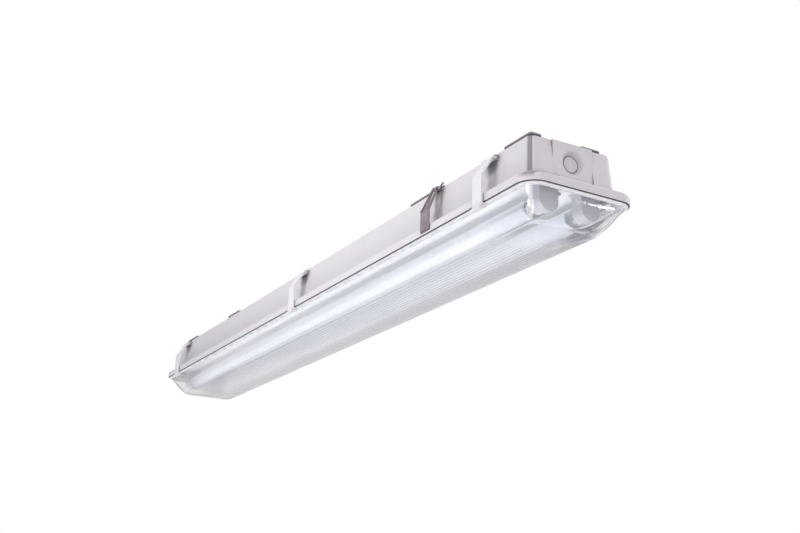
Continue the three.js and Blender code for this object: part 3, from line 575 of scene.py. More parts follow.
@dataclass(frozen=True)
class MilkyPlastic(Finish):
    """A thick edge of clear plastic that looks milky, with a cloudy grain."""

    roughness: float = 0.25
    swing: Pair = (0.05, 0.0)
    cloud: Grain = Grain(18.0, 4.0)
    relief: Grain = Grain(2.0, 1.0)
    strength: float = 0.3
    values: dict[str, float] = field(default_factory=lambda: {"ior": 1.49})
    clear: Pair = (0.15, 0.25)

    def dye(self, sheet: FinishSheet) -> None:
        """Gives the shader its one colour, and lets some light through in clouds."""
        sheet.set(base_color=self.colour)
        sheet.to(sheet.spread(sheet.noise(self.cloud), *self.clear), "Transmission Weight")


@dataclass(frozen=True)
class ClearPlastic:
    """A clear moulded plastic, ribbed lengthwise between its ends.

    The sloped walls get a painted grey shade where they are seen at a slant, darkest near the
    ends.
    """

    name: str
    # floor is the plastic's clear colour; side and end are painted shades for the walls seen at a
    # slant
    floor: Colour
    side: Colour
    end: Colour
    side_shade_zone: Pair = (50.0, 56.0)
    side_to_end_shade_zone: Pair = (500.0, 535.0)
    side_shade_slant: Pair = (0.6, 0.7)
    end_shade_zone: Pair = (500.0, 580.0)
    end_shade_slant: Pair = (0.71, 0.78)
    mass: Colour = (0.42, 0.4, 0.5)
    density: float = 30.0
    haze: Grain = Grain(35.0, 4.0, (0.35, 1.0, 1.0))
    roughness: Pair = (0.02, 0.04)
    flute: Grain = Grain(1.6, 1.0, (0.004, 1.0, 1.0))
    flute_depth: float = 0.04
    flute_strength: float = 0.4
    rib: float = 5.6
    rib_depth: float = 0.025
    rib_roughness: float = 0.13
    rib_zone: Pair = (570.0, 530.0)
    refraction: float = 1.49

    def dye(self, sheet: FinishSheet) -> None:
        """Gives the shader the floor's colour, and the painted shade of the sides and ends seen at
        a slant.

        Args:
            sheet: The material's nodes.
        """
        along = sheet.across(Axis.X)
        facing = sheet.node("ShaderNodeLayerWeight").outputs["Facing"]
        # Painted shade on the walls seen at a slant: grey on the long sides, darkening to the end
        # colour near the ends
        side = sheet.blend(sheet.zone(along, self.side_to_end_shade_zone), self.side, self.end)
        side_shade_share = sheet.maths("MULTIPLY", sheet.zone(sheet.across(Axis.Y), self.side_shade_zone),
                              sheet.zone(facing, self.side_shade_slant, 1.0))
        end_shade_share = sheet.maths("MULTIPLY", sheet.zone(along, self.end_shade_zone),
                             sheet.zone(facing, self.end_shade_slant, 1.0))
        side_shaded_colour = sheet.blend(side_shade_share, self.floor, side)
        sheet.to(sheet.blend(end_shade_share, side_shaded_colour, self.end), "Base Color")

    def make(self) -> bpy.types.Material:
        """Builds the material.

        Returns:
            The finished material.
        """
        sheet = FinishSheet(self.name)
        self.dye(sheet)
        ribbed = sheet.zone(sheet.across(Axis.X), self.rib_zone)
        sheet.to(sheet.maths("ADD", sheet.maths("MULTIPLY", ribbed, self.rib_roughness),
                             sheet.spread(sheet.noise(self.haze), *self.roughness)), "Roughness")
        sheet.bump(sheet.noise(self.flute), self.flute_depth, self.flute_strength)
        turn = sheet.maths("MULTIPLY", sheet.across(Axis.Y), math.tau / (self.rib * MM))
        sheet.bump(sheet.maths("MULTIPLY", sheet.maths("SINE", turn), ribbed), self.rib_depth)
        sheet.set(ior=self.refraction, transmission_weight=1.0)
        sheet.absorb(self.mass, self.density)
        return sheet.material


@dataclass
class Finishes:
    """Every finish of the fixture, built once and kept by its slot's name."""

    recipes: dict[str, Finish | ClearPlastic] = field(default_factory=lambda: {
        # The housing gets painted shade in its hollows and down its upright corners
        "housing": Moulding("housing_moulding", tone(233, 230, 232), tone(228, 224, 227),
                            hollow_shade=0.3, corner=(0.43, 0.41, 0.45)),
        "pad": Rubber("pad_rubber", tone(160, 155, 158), tone(142, 137, 141)),
        "gasket": Rubber("gasket_rubber", tone(86, 82, 86), tone(64, 60, 64),
                         relief=Grain(0.9, 2.0)),
        # The lens's second and third colours are painted shade for its walls seen at a slant
        "lens": ClearPlastic("lens_plastic", WHITE, (0.64, 0.6, 0.73), (0.09, 0.085, 0.11)),
        "lens_rim": MilkyPlastic("lens_rim_plastic", (0.95, 0.955, 0.97)),
        "gasket_body": Rubber("gasket_foam", tone(232, 230, 233), tone(222, 220, 224),
                              relief=Grain(0.9, 2.0)),
        "latch": Moulding("latch_polymer", tone(246, 244, 245), tone(240, 238, 240), 0.35,
                          cloud=Grain(20.0, 4.0), relief=Grain(0.6), speck=Grain(1.5, 2.0)),
        "stainless": DrawnSteel("clip_steel", tone(148, 138, 144), tone(128, 119, 125)),
        "zinc": SatinMetal("zinc_plate", tone(176, 176, 180), tone(150, 150, 152), 0.32),
        "enamel": Enamel("tray_enamel", tone(250, 251, 252), tone(245, 247, 249)),
        "gear_case": Enamel("ballast_enamel", tone(203, 205, 208), tone(192, 194, 198), 0.4),
        "brass": SatinMetal("brass", tone(205, 170, 96), tone(168, 132, 70)),
        "block": Moulding("block_plastic", tone(222, 216, 202), tone(214, 207, 192), 0.5),
        "holder": Moulding("holder_plastic", tone(208, 208, 216), tone(200, 200, 208), 0.4,
                           cloud=Grain(25.0, 4.0), relief=Grain(0.7), speck=Grain(1.75, 2.0)),
        "lamp_glass": CoatedTube("lamp_glass", tone(222, 225, 230), tone(198, 203, 212),
                                 glow=tone(246, 249, 255)),
        "cap": SatinMetal("cap_aluminium", tone(206, 210, 214), tone(184, 188, 193), 0.26),
        "lead": Moulding("lead_jacket", tone(68, 82, 120), tone(58, 70, 104), 0.5,
                         cloud=Grain(30.0, 4.0), relief=Grain(0.6), speck=Grain(1.5, 2.0)),
    })
    made: dict[str, bpy.types.Material] = field(default_factory=dict)

    def of(self, slot: str) -> bpy.types.Material:
        """Gives the material of a slot, and builds it the first time it is asked for.

        Args:
            slot: The slot's name.

        Returns:
            The material.
        """
        if slot not in self.made:
            self.made[slot] = self.recipes[slot].make()
        return self.made[slot]


# Shapes


def quarter(steps: int) -> list[float]:
    """Gives the angles of a quarter turn, from 0 up, in equal steps."""
    return [math.pi / 2 * step / steps for step in range(steps + 1)]


@dataclass(frozen=True)
class Plan:
    """A rounded rectangle seen from below: half length, half width, corner radius."""

    x: float
    y: float
    r: float
    LEAST_CORNER: ClassVar[float] = 1.5

    def grown(self, distance: float) -> "Plan":
        """Gives the same plan set out, or in where the distance is below zero."""
        corner = max(self.r + distance, self.LEAST_CORNER)
        return Plan(self.x + distance, self.y + distance, corner)

    def toward(self, other: "Plan", share: float) -> "Plan":
        """Gives the plan that lies a share of the way to another."""
        ends = zip((self.x, self.y, self.r), (other.x, other.y, other.r))
        return Plan(*(start + (end - start) * share for start, end in ends))

    def ring(self, height: float, steps: int = 12) -> list[Vector]:
        """Walks round the plan, anticlockwise seen from above.

        Args:
            height: The ring's height.
            steps: Facets in each rounded corner.

        Returns:
            The ring's points.
        """
        points = []
        for corner, (side_x, side_y) in enumerate(((1, 1), (-1, 1), (-1, -1), (1, -1))):
            for step in range(steps + 1):
                angle = math.pi / 2 * (corner + step / steps)
                points.append(Vector((side_x * (self.x - self.r) + self.r * math.cos(angle),
                                      side_y * (self.y - self.r) + self.r * math.sin(angle),
                                      height)))
        return points


# Meshes from points in millimetres


def mesh(points: Iterable[Sequence[float]], faces: list[list[int]]) -> Piece:
    """Makes an object from points and faces, with its faces turned outward.

    Args:
        points: Its points in millimetres.
        faces: Lists of point numbers.

    Returns:
        The new object.
    """
    data = bpy.data.meshes.new("shape")
    data.from_pydata([Vector(point) * MM for point in points], [], faces)
    worked = bmesh.new()
    worked.from_mesh(data)
    bmesh.ops.recalc_face_normals(worked, faces=worked.faces)
    worked.to_mesh(data)
    worked.free()
    piece = bpy.data.objects.new("shape", data)
    bpy.context.scene.collection.objects.link(piece)
    return piece


def skin(rings: list[list[Vector]], closed: bool = False) -> Piece:
    """Stretches a skin over rings of points.

    Args:
        rings: Rings with the same number of points.
        closed: True joins the last ring to the first, False caps both.

    Returns:
        The new object.
    """
    count = len(rings[0])
    faces = []
    for band in range(len(rings) if closed else len(rings) - 1):
        upper = band * count
        lower = (band + 1) % len(rings) * count
        for step in range(count):
            following = (step + 1) % count
            faces.append([upper + step, lower + step, lower + following, upper + following])
    if not closed:
        last = (len(rings) - 1) * count
        faces.append(list(range(count)))
        faces.append([last + step for step in reversed(range(count))])
    return mesh([point for ring in rings for point in ring], faces)


def along(axis: Axis, across: float, up: float, run: float) -> Triple:
    """Lays a section's point and its run along an axis into X, Y and Z."""
    return {Axis.X: (run, across, up), Axis.Y: (across, run, up), Axis.Z: (across, up, run)}[axis]


def drawn(section: Sequence[Pair], axis: Axis, start: float, end: float) -> Piece:
    """Draws a section out along an axis.

    Args:
        section: The outline's points.
        axis: The axis to draw it along.
        start: Where it starts.
        end: Where it ends.

    Returns:
        The new object.
    """
    count = len(section)
    points = [along(axis, *point, run) for run in (start, end) for point in section]
    faces = [[step, (step + 1) % count, count + (step + 1) % count, count + step]
             for step in range(count)]
    faces.append(list(range(count)))
    faces.append([count + step for step in reversed(range(count))])
    return mesh(points, faces)


def turned(profile: Sequence[Pair], axis: Axis, centre: Pair = (0.0, 0.0),
           sides: int = 48) -> Piece:
    """Turns a profile round an axis.

    Args:
        profile: Pairs of radius and run along the axis; a first and last radius of zero
            close it on the axis, and otherwise the profile itself closes.
        axis: The axis that it turns round.
        centre: The axis's place, as the section's two values.
        sides: Facets round the axis.

    Returns:
        The new object.
    """
    points: list[Triple] = []
    rows: list[list[int]] = []
    for radius, run in profile:
        if radius == 0.0:
            points.append(along(axis, *centre, run))
            rows.append([len(points) - 1] * sides)
            continue
        row = []
        for side in range(sides):
            angle = 2 * math.pi * side / sides
            across = centre[0] + radius * math.cos(angle)
            up = centre[1] + radius * math.sin(angle)
            points.append(along(axis, across, up, run))
            row.append(len(points) - 1)
        rows.append(row)
    if profile[0][0] != 0.0:
        rows.append(rows[0])
    faces = []
    for upper, lower in zip(rows, rows[1:]):
        for side in range(sides):
            following = (side + 1) % sides
            face = list(dict.fromkeys((upper[side], lower[side], lower[following],
                                       upper[following])))
            if len(face) > 2:
                faces.append(face)
    return mesh(points, faces)


def rod(radius: float, start: float, end: float, axis: Axis,
        centre: Pair = (0.0, 0.0), sides: int = 24) -> Piece:
    """Makes a plain round bar about an axis at the section's two values."""
    profile = [(0.0, start), (radius, start), (radius, end), (0.0, end)]
    return turned(profile, axis, centre, sides)


def block(low: Triple, high: Triple) -> Piece:
    """Makes a square-edged tool between two corners."""
    section = [(low[0], low[1]), (high[0], low[1]), (high[0], high[1]), (low[0], high[1])]
    return drawn(section, Axis.Z, low[2], high[2])


def wire(path: Sequence[Vector], radius: float, sides: int = 16) -> Piece:
    """Draws a round wire along a path, with rounded ends.

    Args:
        path: Points along the wire's middle.
        radius: The wire's radius.
        sides: Facets round the wire.

    Returns:
        The new object.
    """
    last = len(path) - 1
    tangents = [(path[min(place + 1, last)] - path[max(place - 1, 0)]).normalized()
                for place in range(len(path))]
    normal = tangents[0].orthogonal().normalized()
    share = WIRE_END_RADIUS
    starts = path[0] - tangents[0] * radius * WIRE_END_RUN
    ends = path[-1] + tangents[-1] * radius * WIRE_END_RUN
    stations = [(starts, tangents[0], share),
                *((point, tangent, 1.0) for point, tangent in zip(path, tangents)),
                (ends, tangents[-1], share)]
    rings = []
    for point, tangent, share in stations:
        normal = (normal - tangent * normal.dot(tangent)).normalized()
        other = tangent.cross(normal)
        rings.append([
            point + radius * share * (normal * math.cos(2 * math.pi * side / sides)
                                      + other * math.sin(2 * math.pi * side / sides))
            for side in range(sides)
        ])
    return skin(rings)


# Line work


def rounded(points: Sequence[Pair], radius: float, closed: bool = True,
            steps: int = 5) -> list[Pair]:
    """Rounds the corners of a line.

    Args:
        points: The line's corners.
        radius: The radius of each rounding, less where a corner has no room for it.
        closed: True rounds the first and last corner too.
        steps: Facets in each rounding.

    Returns:
        The rounded line.
    """
    result: list[Pair] = []
    count = len(points)
    for place, point in enumerate(points):
        corner = Vector(point)
        if not closed and place in (0, count - 1):
            result.append(tuple(corner))
            continue
        before = Vector(points[place - 1]) - corner
        after = Vector(points[(place + 1) % count]) - corner
        half = before.angle(after) / 2
        room = ROUNDING_ROOM * min(before.length, after.length)
        if half > math.radians(STRAIGHT):
            result.append(tuple(corner))
            continue
        cut = min(radius / math.tan(half), room)
        actual = cut * math.tan(half)
        before.normalize()
        after.normalize()
        middle = corner + (before + after).normalized() * (actual / math.sin(half))
        start = corner + before * cut - middle
        end = corner + after * cut - middle
        sweep = start.angle_signed(end)
        for step in range(steps + 1):
            turn = Matrix.Rotation(-sweep * step / steps, 2)
            result.append(tuple(middle + turn @ start))
    return result


def thickened(points: Sequence[Pair], thickness: float) -> list[Pair]:
    """Thickens an open line to its left.

    Args:
        points: The line.
        thickness: How far the other face lies.

    Returns:
        The closed outline.
    """
    line = [Vector(point) for point in points]
    offset = []
    for place, point in enumerate(line):
        into = (point - line[place - 1]) if place > 0 else (line[1] - point)
        out = (line[place + 1] - point) if place < len(line) - 1 else into
        into = into.normalized()
        out = out.normalized()
        left_in = Vector((-into.y, into.x))
        left_out = Vector((-out.y, out.x))
        middle = (left_in + left_out).normalized()
        offset.append(point + middle * (thickness / middle.dot(left_in)))
    return [tuple(point) for point in line + offset[::-1]]


def arc(centre: Pair, radius: float, start: float, end: float, steps: int) -> list[Pair]:
    """Gives points on an arc.

    Args:
        centre: The arc's centre.
        radius: Its radius.
        start: Its first angle in degrees.
        end: Its last angle in degrees.
        steps: Facets in it.

    Returns:
        The arc's points.
    """
    angles = [math.radians(start + (end - start) * step / steps) for step in range(steps + 1)]
    return [(centre[0] + radius * math.cos(angle), centre[1] + radius * math.sin(angle))
            for angle in angles]


def smooth(points: Sequence[Sequence[float]], steps: int) -> list[Vector]:
    """Runs a smooth curve through points of any number of values.

    Args:
        points: The points to go through.
        steps: Pieces between each two of them.

    Returns:
        The curve's points.
    """
    line = [Vector(point) for point in points]
    line = [2 * line[0] - line[1], *line, 2 * line[-1] - line[-2]]
    result = []
    for place in range(1, len(line) - 2):
        first, second, third, fourth = line[place - 1:place + 3]
        for step in range(steps):
            t = step / steps
            result.append(0.5 * (
                2 * second + (third - first) * t
                + (2 * first - 5 * second + 4 * third - fourth) * t * t
                + (3 * second - first - 3 * third + fourth) * t ** 3
            ))
    result.append(line[-2])
    return result


# Work on meshes


def settle(piece: Piece) -> None:
    """Makes the result of all of a piece's modifiers its own mesh.

    Args:
        piece: The piece with its modifiers.
    """
    graph = bpy.context.evaluated_depsgraph_get()
    done = bpy.data.meshes.new_from_object(piece.evaluated_get(graph))
    piece.modifiers.clear()
    old = piece.data
    piece.data = done
    bpy.data.meshes.remove(old)


def work(piece: Piece, tools: Sequence[Piece], how: Work) -> None:
    """Joins tools to a piece or cuts them from it, and clears them away.

    Args:
        piece: The piece that is worked on.
        tools: The shapes set against it.
        how: Whether they join it or cut it.
    """
    for tool in tools:
        step = piece.modifiers.new(tool.name, "BOOLEAN")
        step.operation = how.value
        step.solver = "MANIFOLD"
        step.object = tool
    settle(piece)
    discard(*tools)


def ease(piece: Piece, width: float, angle: float = 35.0, segments: int = 2) -> None:
    """Rounds a piece's sharp edges.

    Args:
        piece: The piece.
        width: The rounding's width in millimetres.
        angle: Edges sharper than this, in degrees, are rounded.
        segments: Facets in each rounding.
    """
    step = piece.modifiers.new("ease", "BEVEL")
    step.width = width * MM
    step.segments = segments
    step.limit_method = "ANGLE"
    step.angle_limit = math.radians(angle)
    step.use_clamp_overlap = True
    settle(piece)


def shade(piece: Piece, angle: float = 40.0) -> None:
    """Shades a piece smooth, but for its sharp edges.

    Args:
        piece: The piece.
        angle: Edges sharper than this, in degrees, stay sharp.
    """
    worked = bmesh.new()
    worked.from_mesh(piece.data)
    bmesh.ops.remove_doubles(worked, verts=worked.verts, dist=MM * WELD)
    for face in worked.faces:
        face.smooth = True
    for edge in worked.edges:
        edge.smooth = edge.calc_face_angle(0.0) < math.radians(angle)
    worked.to_mesh(piece.data)
    worked.free()
    step = piece.modifiers.new("weighted", "WEIGHTED_NORMAL")
    step.keep_sharp = True
    settle(piece)


def repeated(piece: Piece, at: Triple, turned: bool) -> Piece:
    """Sets a copy of a piece at a place.

    Args:
        piece: The piece as drawn about the origin.
        at: The place in millimetres, before any turn.
        turned: True turns it half round Z with its place.

    Returns:
        The copy.
    """
    twin = bpy.data.objects.new(piece.name, piece.data.copy())
    bpy.context.scene.collection.objects.link(twin)
    move = Matrix.Translation(Vector(at) * MM)
    twin.data.transform(HALF_TURN @ move if turned else move)
    return twin


def discard(*pieces: Piece) -> None:
    """Clears away pieces that served as tools or patterns.

    Args:
        *pieces: The pieces.
    """
    for piece in pieces:
        data = piece.data
        bpy.data.objects.remove(piece)
        bpy.data.meshes.remove(data)


def pair(make: Callable[..., Piece], *values: float) -> list[Piece]:
    """Makes a shape twice, the second half a turn round Z.

    Args:
        make: The method that makes the shape.
        *values: What it is given.

    Returns:
        The two shapes.
    """
    first, second = make(*values), make(*values)
    second.data.transform(HALF_TURN)
    return [first, second]


@dataclass
class Fitter:
    """Dresses finished pieces and ties them to the frame."""

    finishes: Finishes

    def fit(self, piece: Piece, name: str, slot: str, body: str, node: str,
            finish: str = "") -> None:
        """Gives a piece its name, its finish and its body, and hides the node that it stands for.

        Args:
            piece: The piece in its place.
            name: Its name.
            slot: The slot that it takes its finish from.
            body: The body that it rides on.
            node: The CAD node that it replaces.
            finish: The finish's name, where it isn't the slot's.
        """
        piece.name = name
        piece.data.materials.clear()
        piece.data.materials.append(self.finishes.of(finish or slot))
        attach(piece, body)
        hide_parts(node)
        log.info("%s: %d faces, %s finish, rides on %s", name, len(piece.data.polygons), slot,
                 body)

    def set_out(self, pattern: Piece, name: str, at: Triple, turned: bool, slot: str,
                body: str, node: str) -> None:
        """Dresses a copy of a pattern set at its place, or turned half round Z with it."""
        self.fit(repeated(pattern, at, turned), name, slot, body, node)


# Sub-assemblies


@dataclass
class Shell:
    """Sizes that the housing shares with what it carries."""

    back: Plan = Plan(625.0, 61.0, 9.0)
    foot: Plan = Plan(630.0, 65.5, 10.0)
    flange: Plan = Plan(650.0, 82.0, 26.0)
    wall_height: float = 57.0
    wall: float = 3.0
    flange_thickness: float = 3.0
    skirt_height: float = 12.0
    skirt: float = 3.0
    gap: float = 0.3
    gasket_leg: float = 2.4
    gasket_web: float = 3.0
    tongue_thickness: float = 2.5
    seat_rise: float = 8.0
    pivot_drop: float = 8.0
    pivot_stand_off: float = 4.5
    hub: float = 3.2
    ear: float = 3.0
    latch_width: float = 20.0
    latch_rows: tuple[float, float, float] = (547.0, 0.0, -570.0)
    clip_near: float = 421.5
    clip_far: float = -380.5
    clip_sheet: float = 1.4
    clip_lip_raise: float = 3.8
    clip_lip_depth: float = 1.6
    clip_screw_reach: float = 44.333
    screw_row_x: float = 596.0
    screw_row_y: float = 53.0
    lamp_axis: float = -77.0
    lamp_reach: float = 31.0

    @property
    def screw_rows(self) -> Triple:
        """Places of the tray screws and their bosses across the fixture."""
        return -self.screw_row_y, 0.0, self.screw_row_y

    @property
    def flange_top(self) -> float:
        """Height of the flange's upper face."""
        return -self.wall_height

    @property
    def flange_under(self) -> float:
        """Height of the flange's under face."""
        return self.flange_top - self.flange_thickness

    @property
    def tray_back(self) -> float:
        """Height of the gear tray's upper face, under the screw bosses."""
        return self.flange_under + self.seat_rise

    @property
    def skirt_bottom(self) -> float:
        """Height of the skirt's lower edge."""
        return self.flange_top - self.skirt_height

    @property
    def skirt_inside(self) -> Plan:
        """Plan of the skirt's inner face."""
        return self.flange.grown(-self.skirt)

    @property
    def tongue(self) -> Plan:
        """Plan of the lens tongue's outer face."""
        return self.skirt_inside.grown(-self.gasket_leg - 2 * self.gap)

    @property
    def pivot_reach(self) -> float:
        """Distance of the latch pivots from the middle plane."""
        return self.wall_plan(-self.pivot_drop).y + self.pivot_stand_off

    def wall_plan(self, height: float) -> Plan:
        """Gives the plan of the drafted wall's outside at a height."""
        return self.back.toward(self.foot, -height / self.wall_height)


@dataclass
class SubAssembly:
    """A part of the fixture, with the sizes it shares and what dresses its pieces."""

    shell: Shell
    fitter: Fitter


@dataclass
class Housing(SubAssembly):
    """The moulded housing with its end panels, conduit entries, bosses and hinge ears."""

    back_edge: float = 3.0
    foot_fillet: float = 3.5
    flange_edge: float = 4.0
    fillet_steps: int = 7
    lip_edge: float = 0.7
    inner_edge: float = 2.0
    inner_shares: tuple[float, ...] = (0.0, 0.33, 0.67, 1.0)
    panel_half: float = 30.0
    panel_stand_off: float = 2.5
    panel_top_drop: float = 1.0
    panel_edge: float = 0.8
    panel_clear: float = 20.0
    entry_height: float = -25.65
    entry_ring: float = 2.0
    entry_wall: float = 3.0
    recess: float = 5.0
    bore: float = 11.0
    mouth: float = 16.0
    mouth_start: float = 0.5
    mouth_edge: tuple[Pair, ...] = ((0.25, -0.12), (0.9, 0.02), (1.4, 1.0))
    boss: float = 4.0
    boss_rib_bottom: float = -38.0
    pilot: float = 2.2
    pilot_depth: float = 13.8
    ear_root: float = 1.6
    ear_foot: tuple[Pair, ...] = ((2.6, 0.2), (0.0, 1.2))
    trunnion_hole: float = 2.1
    clip_half: float = 11.6
    screw_hole: float = 2.2
    plug_flange: tuple[Pair, ...] = ((1.4, 0.0), (1.6, 0.3), (1.6, 1.2), (1.4, 1.5), (0.0, 1.5))
    plug_face: tuple[Pair, ...] = ((0.0, 0.0), (-0.2, 0.45), (-0.8, 0.75), (-2.0, 0.8),
                                   (-2.6, 0.55), (-4.0, 0.5))
    plug_middle: float = 0.42

    @property
    def panel_plane(self) -> float:
        """Distance of the flat end panels from the middle."""
        return self.shell.back.x + self.panel_stand_off

    def rings(self) -> list[list[Vector]]:
        """Walks the outside of the shell down and its inside up again.

        Returns:
            The rings of points.
        """
        shell = self.shell

        def on_wall(height: float, inset: float) -> list[Vector]:
            """Gives a ring on the drafted wall, set in from it."""
            return shell.wall_plan(height).grown(inset).ring(height)

        turns = quarter(self.fillet_steps)
        rings = [on_wall(self.back_edge * (math.cos(turn) - 1),
                         self.back_edge * (math.sin(turn) - 1)) for turn in turns]
        rings += [on_wall(shell.flange_top + self.foot_fillet * (1 - math.sin(turn)),
                          self.foot_fillet * (1 - math.cos(turn))) for turn in turns]
        rings += [shell.flange.grown(self.flange_edge * (math.sin(turn) - 1))
                  .ring(shell.flange_top - self.flange_edge * (1 - math.cos(turn)))
                  for turn in turns]
        bottom = shell.skirt_bottom
        edge = self.lip_edge
        turns = quarter(2)
        rings += [shell.flange.grown(edge * (math.cos(turn) - 1))
                  .ring(bottom + edge * (1 - math.sin(turn))) for turn in turns]
        rings += [shell.skirt_inside.grown(edge * (1 - math.cos(turn)))
                  .ring(bottom + edge * (1 - math.sin(turn))) for turn in reversed(turns)]
        rings.append(shell.skirt_inside.ring(shell.flange_under))
        rings.append(shell.foot.grown(-shell.wall).ring(shell.flange_under))
        for share in self.inner_shares:
            turn = math.pi / 2 * share
            rings.append(on_wall(-shell.wall - self.inner_edge * (1 - math.sin(turn)),
                                 -shell.wall - self.inner_edge * (1 - math.cos(turn))))
        return rings

    def panel(self) -> Piece:
        """Makes the near end's flat panel, with eased vertical edges.

        Returns:
            The panel.
        """
        shell, half, plane = self.shell, self.panel_half, self.panel_plane
        section = rounded([(plane - shell.wall, -half), (plane, -half), (plane, half),
                           (plane - shell.wall, half)], self.panel_edge)
        return drawn(section, Axis.Z, shell.flange_top + shell.gap, -self.panel_top_drop)

    def panel_recess(self) -> Piece:
        """Makes the tool that clears the wall in front of the near end's panel."""
        low = (self.panel_plane, -self.panel_half, self.shell.flange_top)
        return block(low, (self.panel_plane + self.panel_clear, self.panel_half, OVER))

    def entry_boss(self) -> Piece:
        """Makes the thick ring behind the near end's conduit entry."""
        back = self.panel_plane - self.recess - self.entry_wall
        return rod(self.mouth + self.entry_ring, back,
                   self.panel_plane - self.shell.gap, Axis.X, (0.0, self.entry_height), sides=48)

    def entry_hole(self) -> Piece:
        """Makes the near end's conduit entry, with a rounded mouth.

        Returns:
            The tool.
        """
        plane = self.panel_plane
        floor = plane - self.recess
        back = floor - self.entry_wall - OVER
        slope = (self.mouth - self.bore) / self.recess
        profile = [(0.0, back), (self.bore, back), (self.bore, floor),
                   (self.mouth - slope * self.mouth_start, plane - self.mouth_start),
                   *((self.mouth + out, plane + rise) for out, rise in self.mouth_edge),
                   (0.0, plane + self.mouth_edge[-1][1])]
        return turned(profile, Axis.X, (0.0, self.entry_height), sides=64)

    def screw_boss(self, y: float) -> Piece:
        """Makes a screw boss of the near end at a place across."""
        shell = self.shell
        return rod(self.boss, shell.tray_back + shell.gap, -shell.wall / 2,
                   Axis.Z, (shell.screw_row_x, y), sides=28)

    def pilot_hole(self, y: float) -> Piece:
        """Makes a boss's pilot hole at a place across."""
        start = self.shell.tray_back
        return rod(self.pilot, start - OVER, start + self.pilot_depth, Axis.Z,
                   (self.shell.screw_row_x, y))

    def boss_rib(self, side: float) -> Piece:
        """Makes the rib that ties an outer boss to the long wall.

        Args:
            side: -1 for the front and 1 for the rear.

        Returns:
            The rib.
        """
        shell = self.shell
        top = -shell.wall / 2
        bottom = self.boss_rib_bottom
        section = [(side * shell.screw_row_y, top), (side * shell.screw_row_y, bottom),
                   (side * (shell.wall_plan(bottom).y + top), bottom),
                   (side * (shell.wall_plan(top).y + top), top)]
        half = shell.wall / 4
        return drawn(section, Axis.X, shell.screw_row_x - half, shell.screw_row_x + half)

    def ears(self, x: float) -> list[Piece]:
        """Makes the two hinge ears of a front latch.

        Args:
            x: The latch's place along the fixture.

        Returns:
            The ears, before their hole.
        """
        shell = self.shell
        root = shell.wall_plan(-shell.pivot_drop).y - self.ear_root
        pivot = -shell.pivot_drop
        inner = shell.latch_width / 2 + 2 * shell.gap
        section = [(-root, pivot + shell.hub),
                   *arc((-shell.pivot_reach, pivot), shell.hub, 90.0, 270.0, steps=14),
                   *((-root - out, pivot - shell.hub - drop) for out, drop in self.ear_foot)]
        return [drawn(section, Axis.X, start, start + shell.ear)
                for start in (x + inner, x - inner - shell.ear)]

    def ear_hole(self, x: float) -> Piece:
        """Makes the hole through both ears of a front latch.

        Args:
            x: The latch's place along the fixture.

        Returns:
            The tool.
        """
        shell = self.shell
        span = shell.latch_width / 2 + 2 * shell.gap + shell.ear + OVER
        return rod(self.trunnion_hole, x - span, x + span, Axis.X,
                   (-shell.pivot_reach, -shell.pivot_drop))

    def clip_cuts(self, x: float) -> list[Piece]:
        """Makes the notch and the screw hole of a front hanger clip.

        Args:
            x: The clip's place along the fixture.

        Returns:
            The two tools.
        """
        shell = self.shell
        lip = shell.skirt_bottom + shell.clip_lip_raise
        face = shell.flange.y
        return [
            block((x - self.clip_half, -face - OVER,
                   lip - shell.clip_sheet - shell.gap),
                  (x + self.clip_half, -face + shell.clip_lip_depth + shell.gap,
                   lip + shell.gap)),
            rod(self.screw_hole, -shell.wall - OVER, OVER, Axis.Z,
                (x, -shell.clip_screw_reach)),
        ]

    def build(self) -> None:
        """Builds the housing and its two conduit plugs."""
        shell = self.shell
        housing = skin(self.rings())
        rows = shell.latch_rows
        added = [*pair(self.panel), *pair(self.entry_boss)]
        for y in shell.screw_rows:
            added += pair(self.screw_boss, y)
        for side in (-1.0, 1.0):
            added += pair(self.boss_rib, side)
        rear_ears = [ear for x in rows for ear in self.ears(-x)]
        rear_cuts = [self.ear_hole(-x) for x in rows] + self.clip_cuts(-shell.clip_far)
        for tool in (*rear_ears, *rear_cuts):
            tool.data.transform(HALF_TURN)
        added += [ear for x in rows for ear in self.ears(x)] + rear_ears
        removed = [*pair(self.panel_recess), *pair(self.entry_hole)]
        for y in shell.screw_rows:
            removed += pair(self.pilot_hole, y)
        removed += [self.ear_hole(x) for x in rows] + self.clip_cuts(shell.clip_near)
        removed += rear_cuts
        work(housing, added, Work.JOIN)
        work(housing, removed, Work.CUT)
        shade(housing, angle=30.0)
        self.fitter.fit(housing, "housing_shell", "housing", "fixture_body", "housing")
        self.plugs()

    def plugs(self) -> None:
        """Builds the snap-in plugs with a raised rim and a dished middle."""
        face = self.panel_plane - self.recess - self.shell.gap
        radius = self.bore - self.shell.gap
        lip = face - self.entry_wall - self.plug_flange[-1][1]
        profile = [(0.0, lip),
                   *((radius + out, lip + rise) for out, rise in self.plug_flange),
                   *((radius + out, face + rise) for out, rise in self.plug_face),
                   (0.0, face + self.plug_middle)]
        pattern = turned(profile, Axis.X, sides=64)
        shade(pattern)
        for side in (Side.NEAR, Side.FAR):
            self.fitter.set_out(pattern, f"entry_plug_{side.value}", (0.0, 0.0, self.entry_height),
                                side.turned, "housing", "fixture_body",
                                f"conduit_plug_{side.value}")
        discard(pattern)


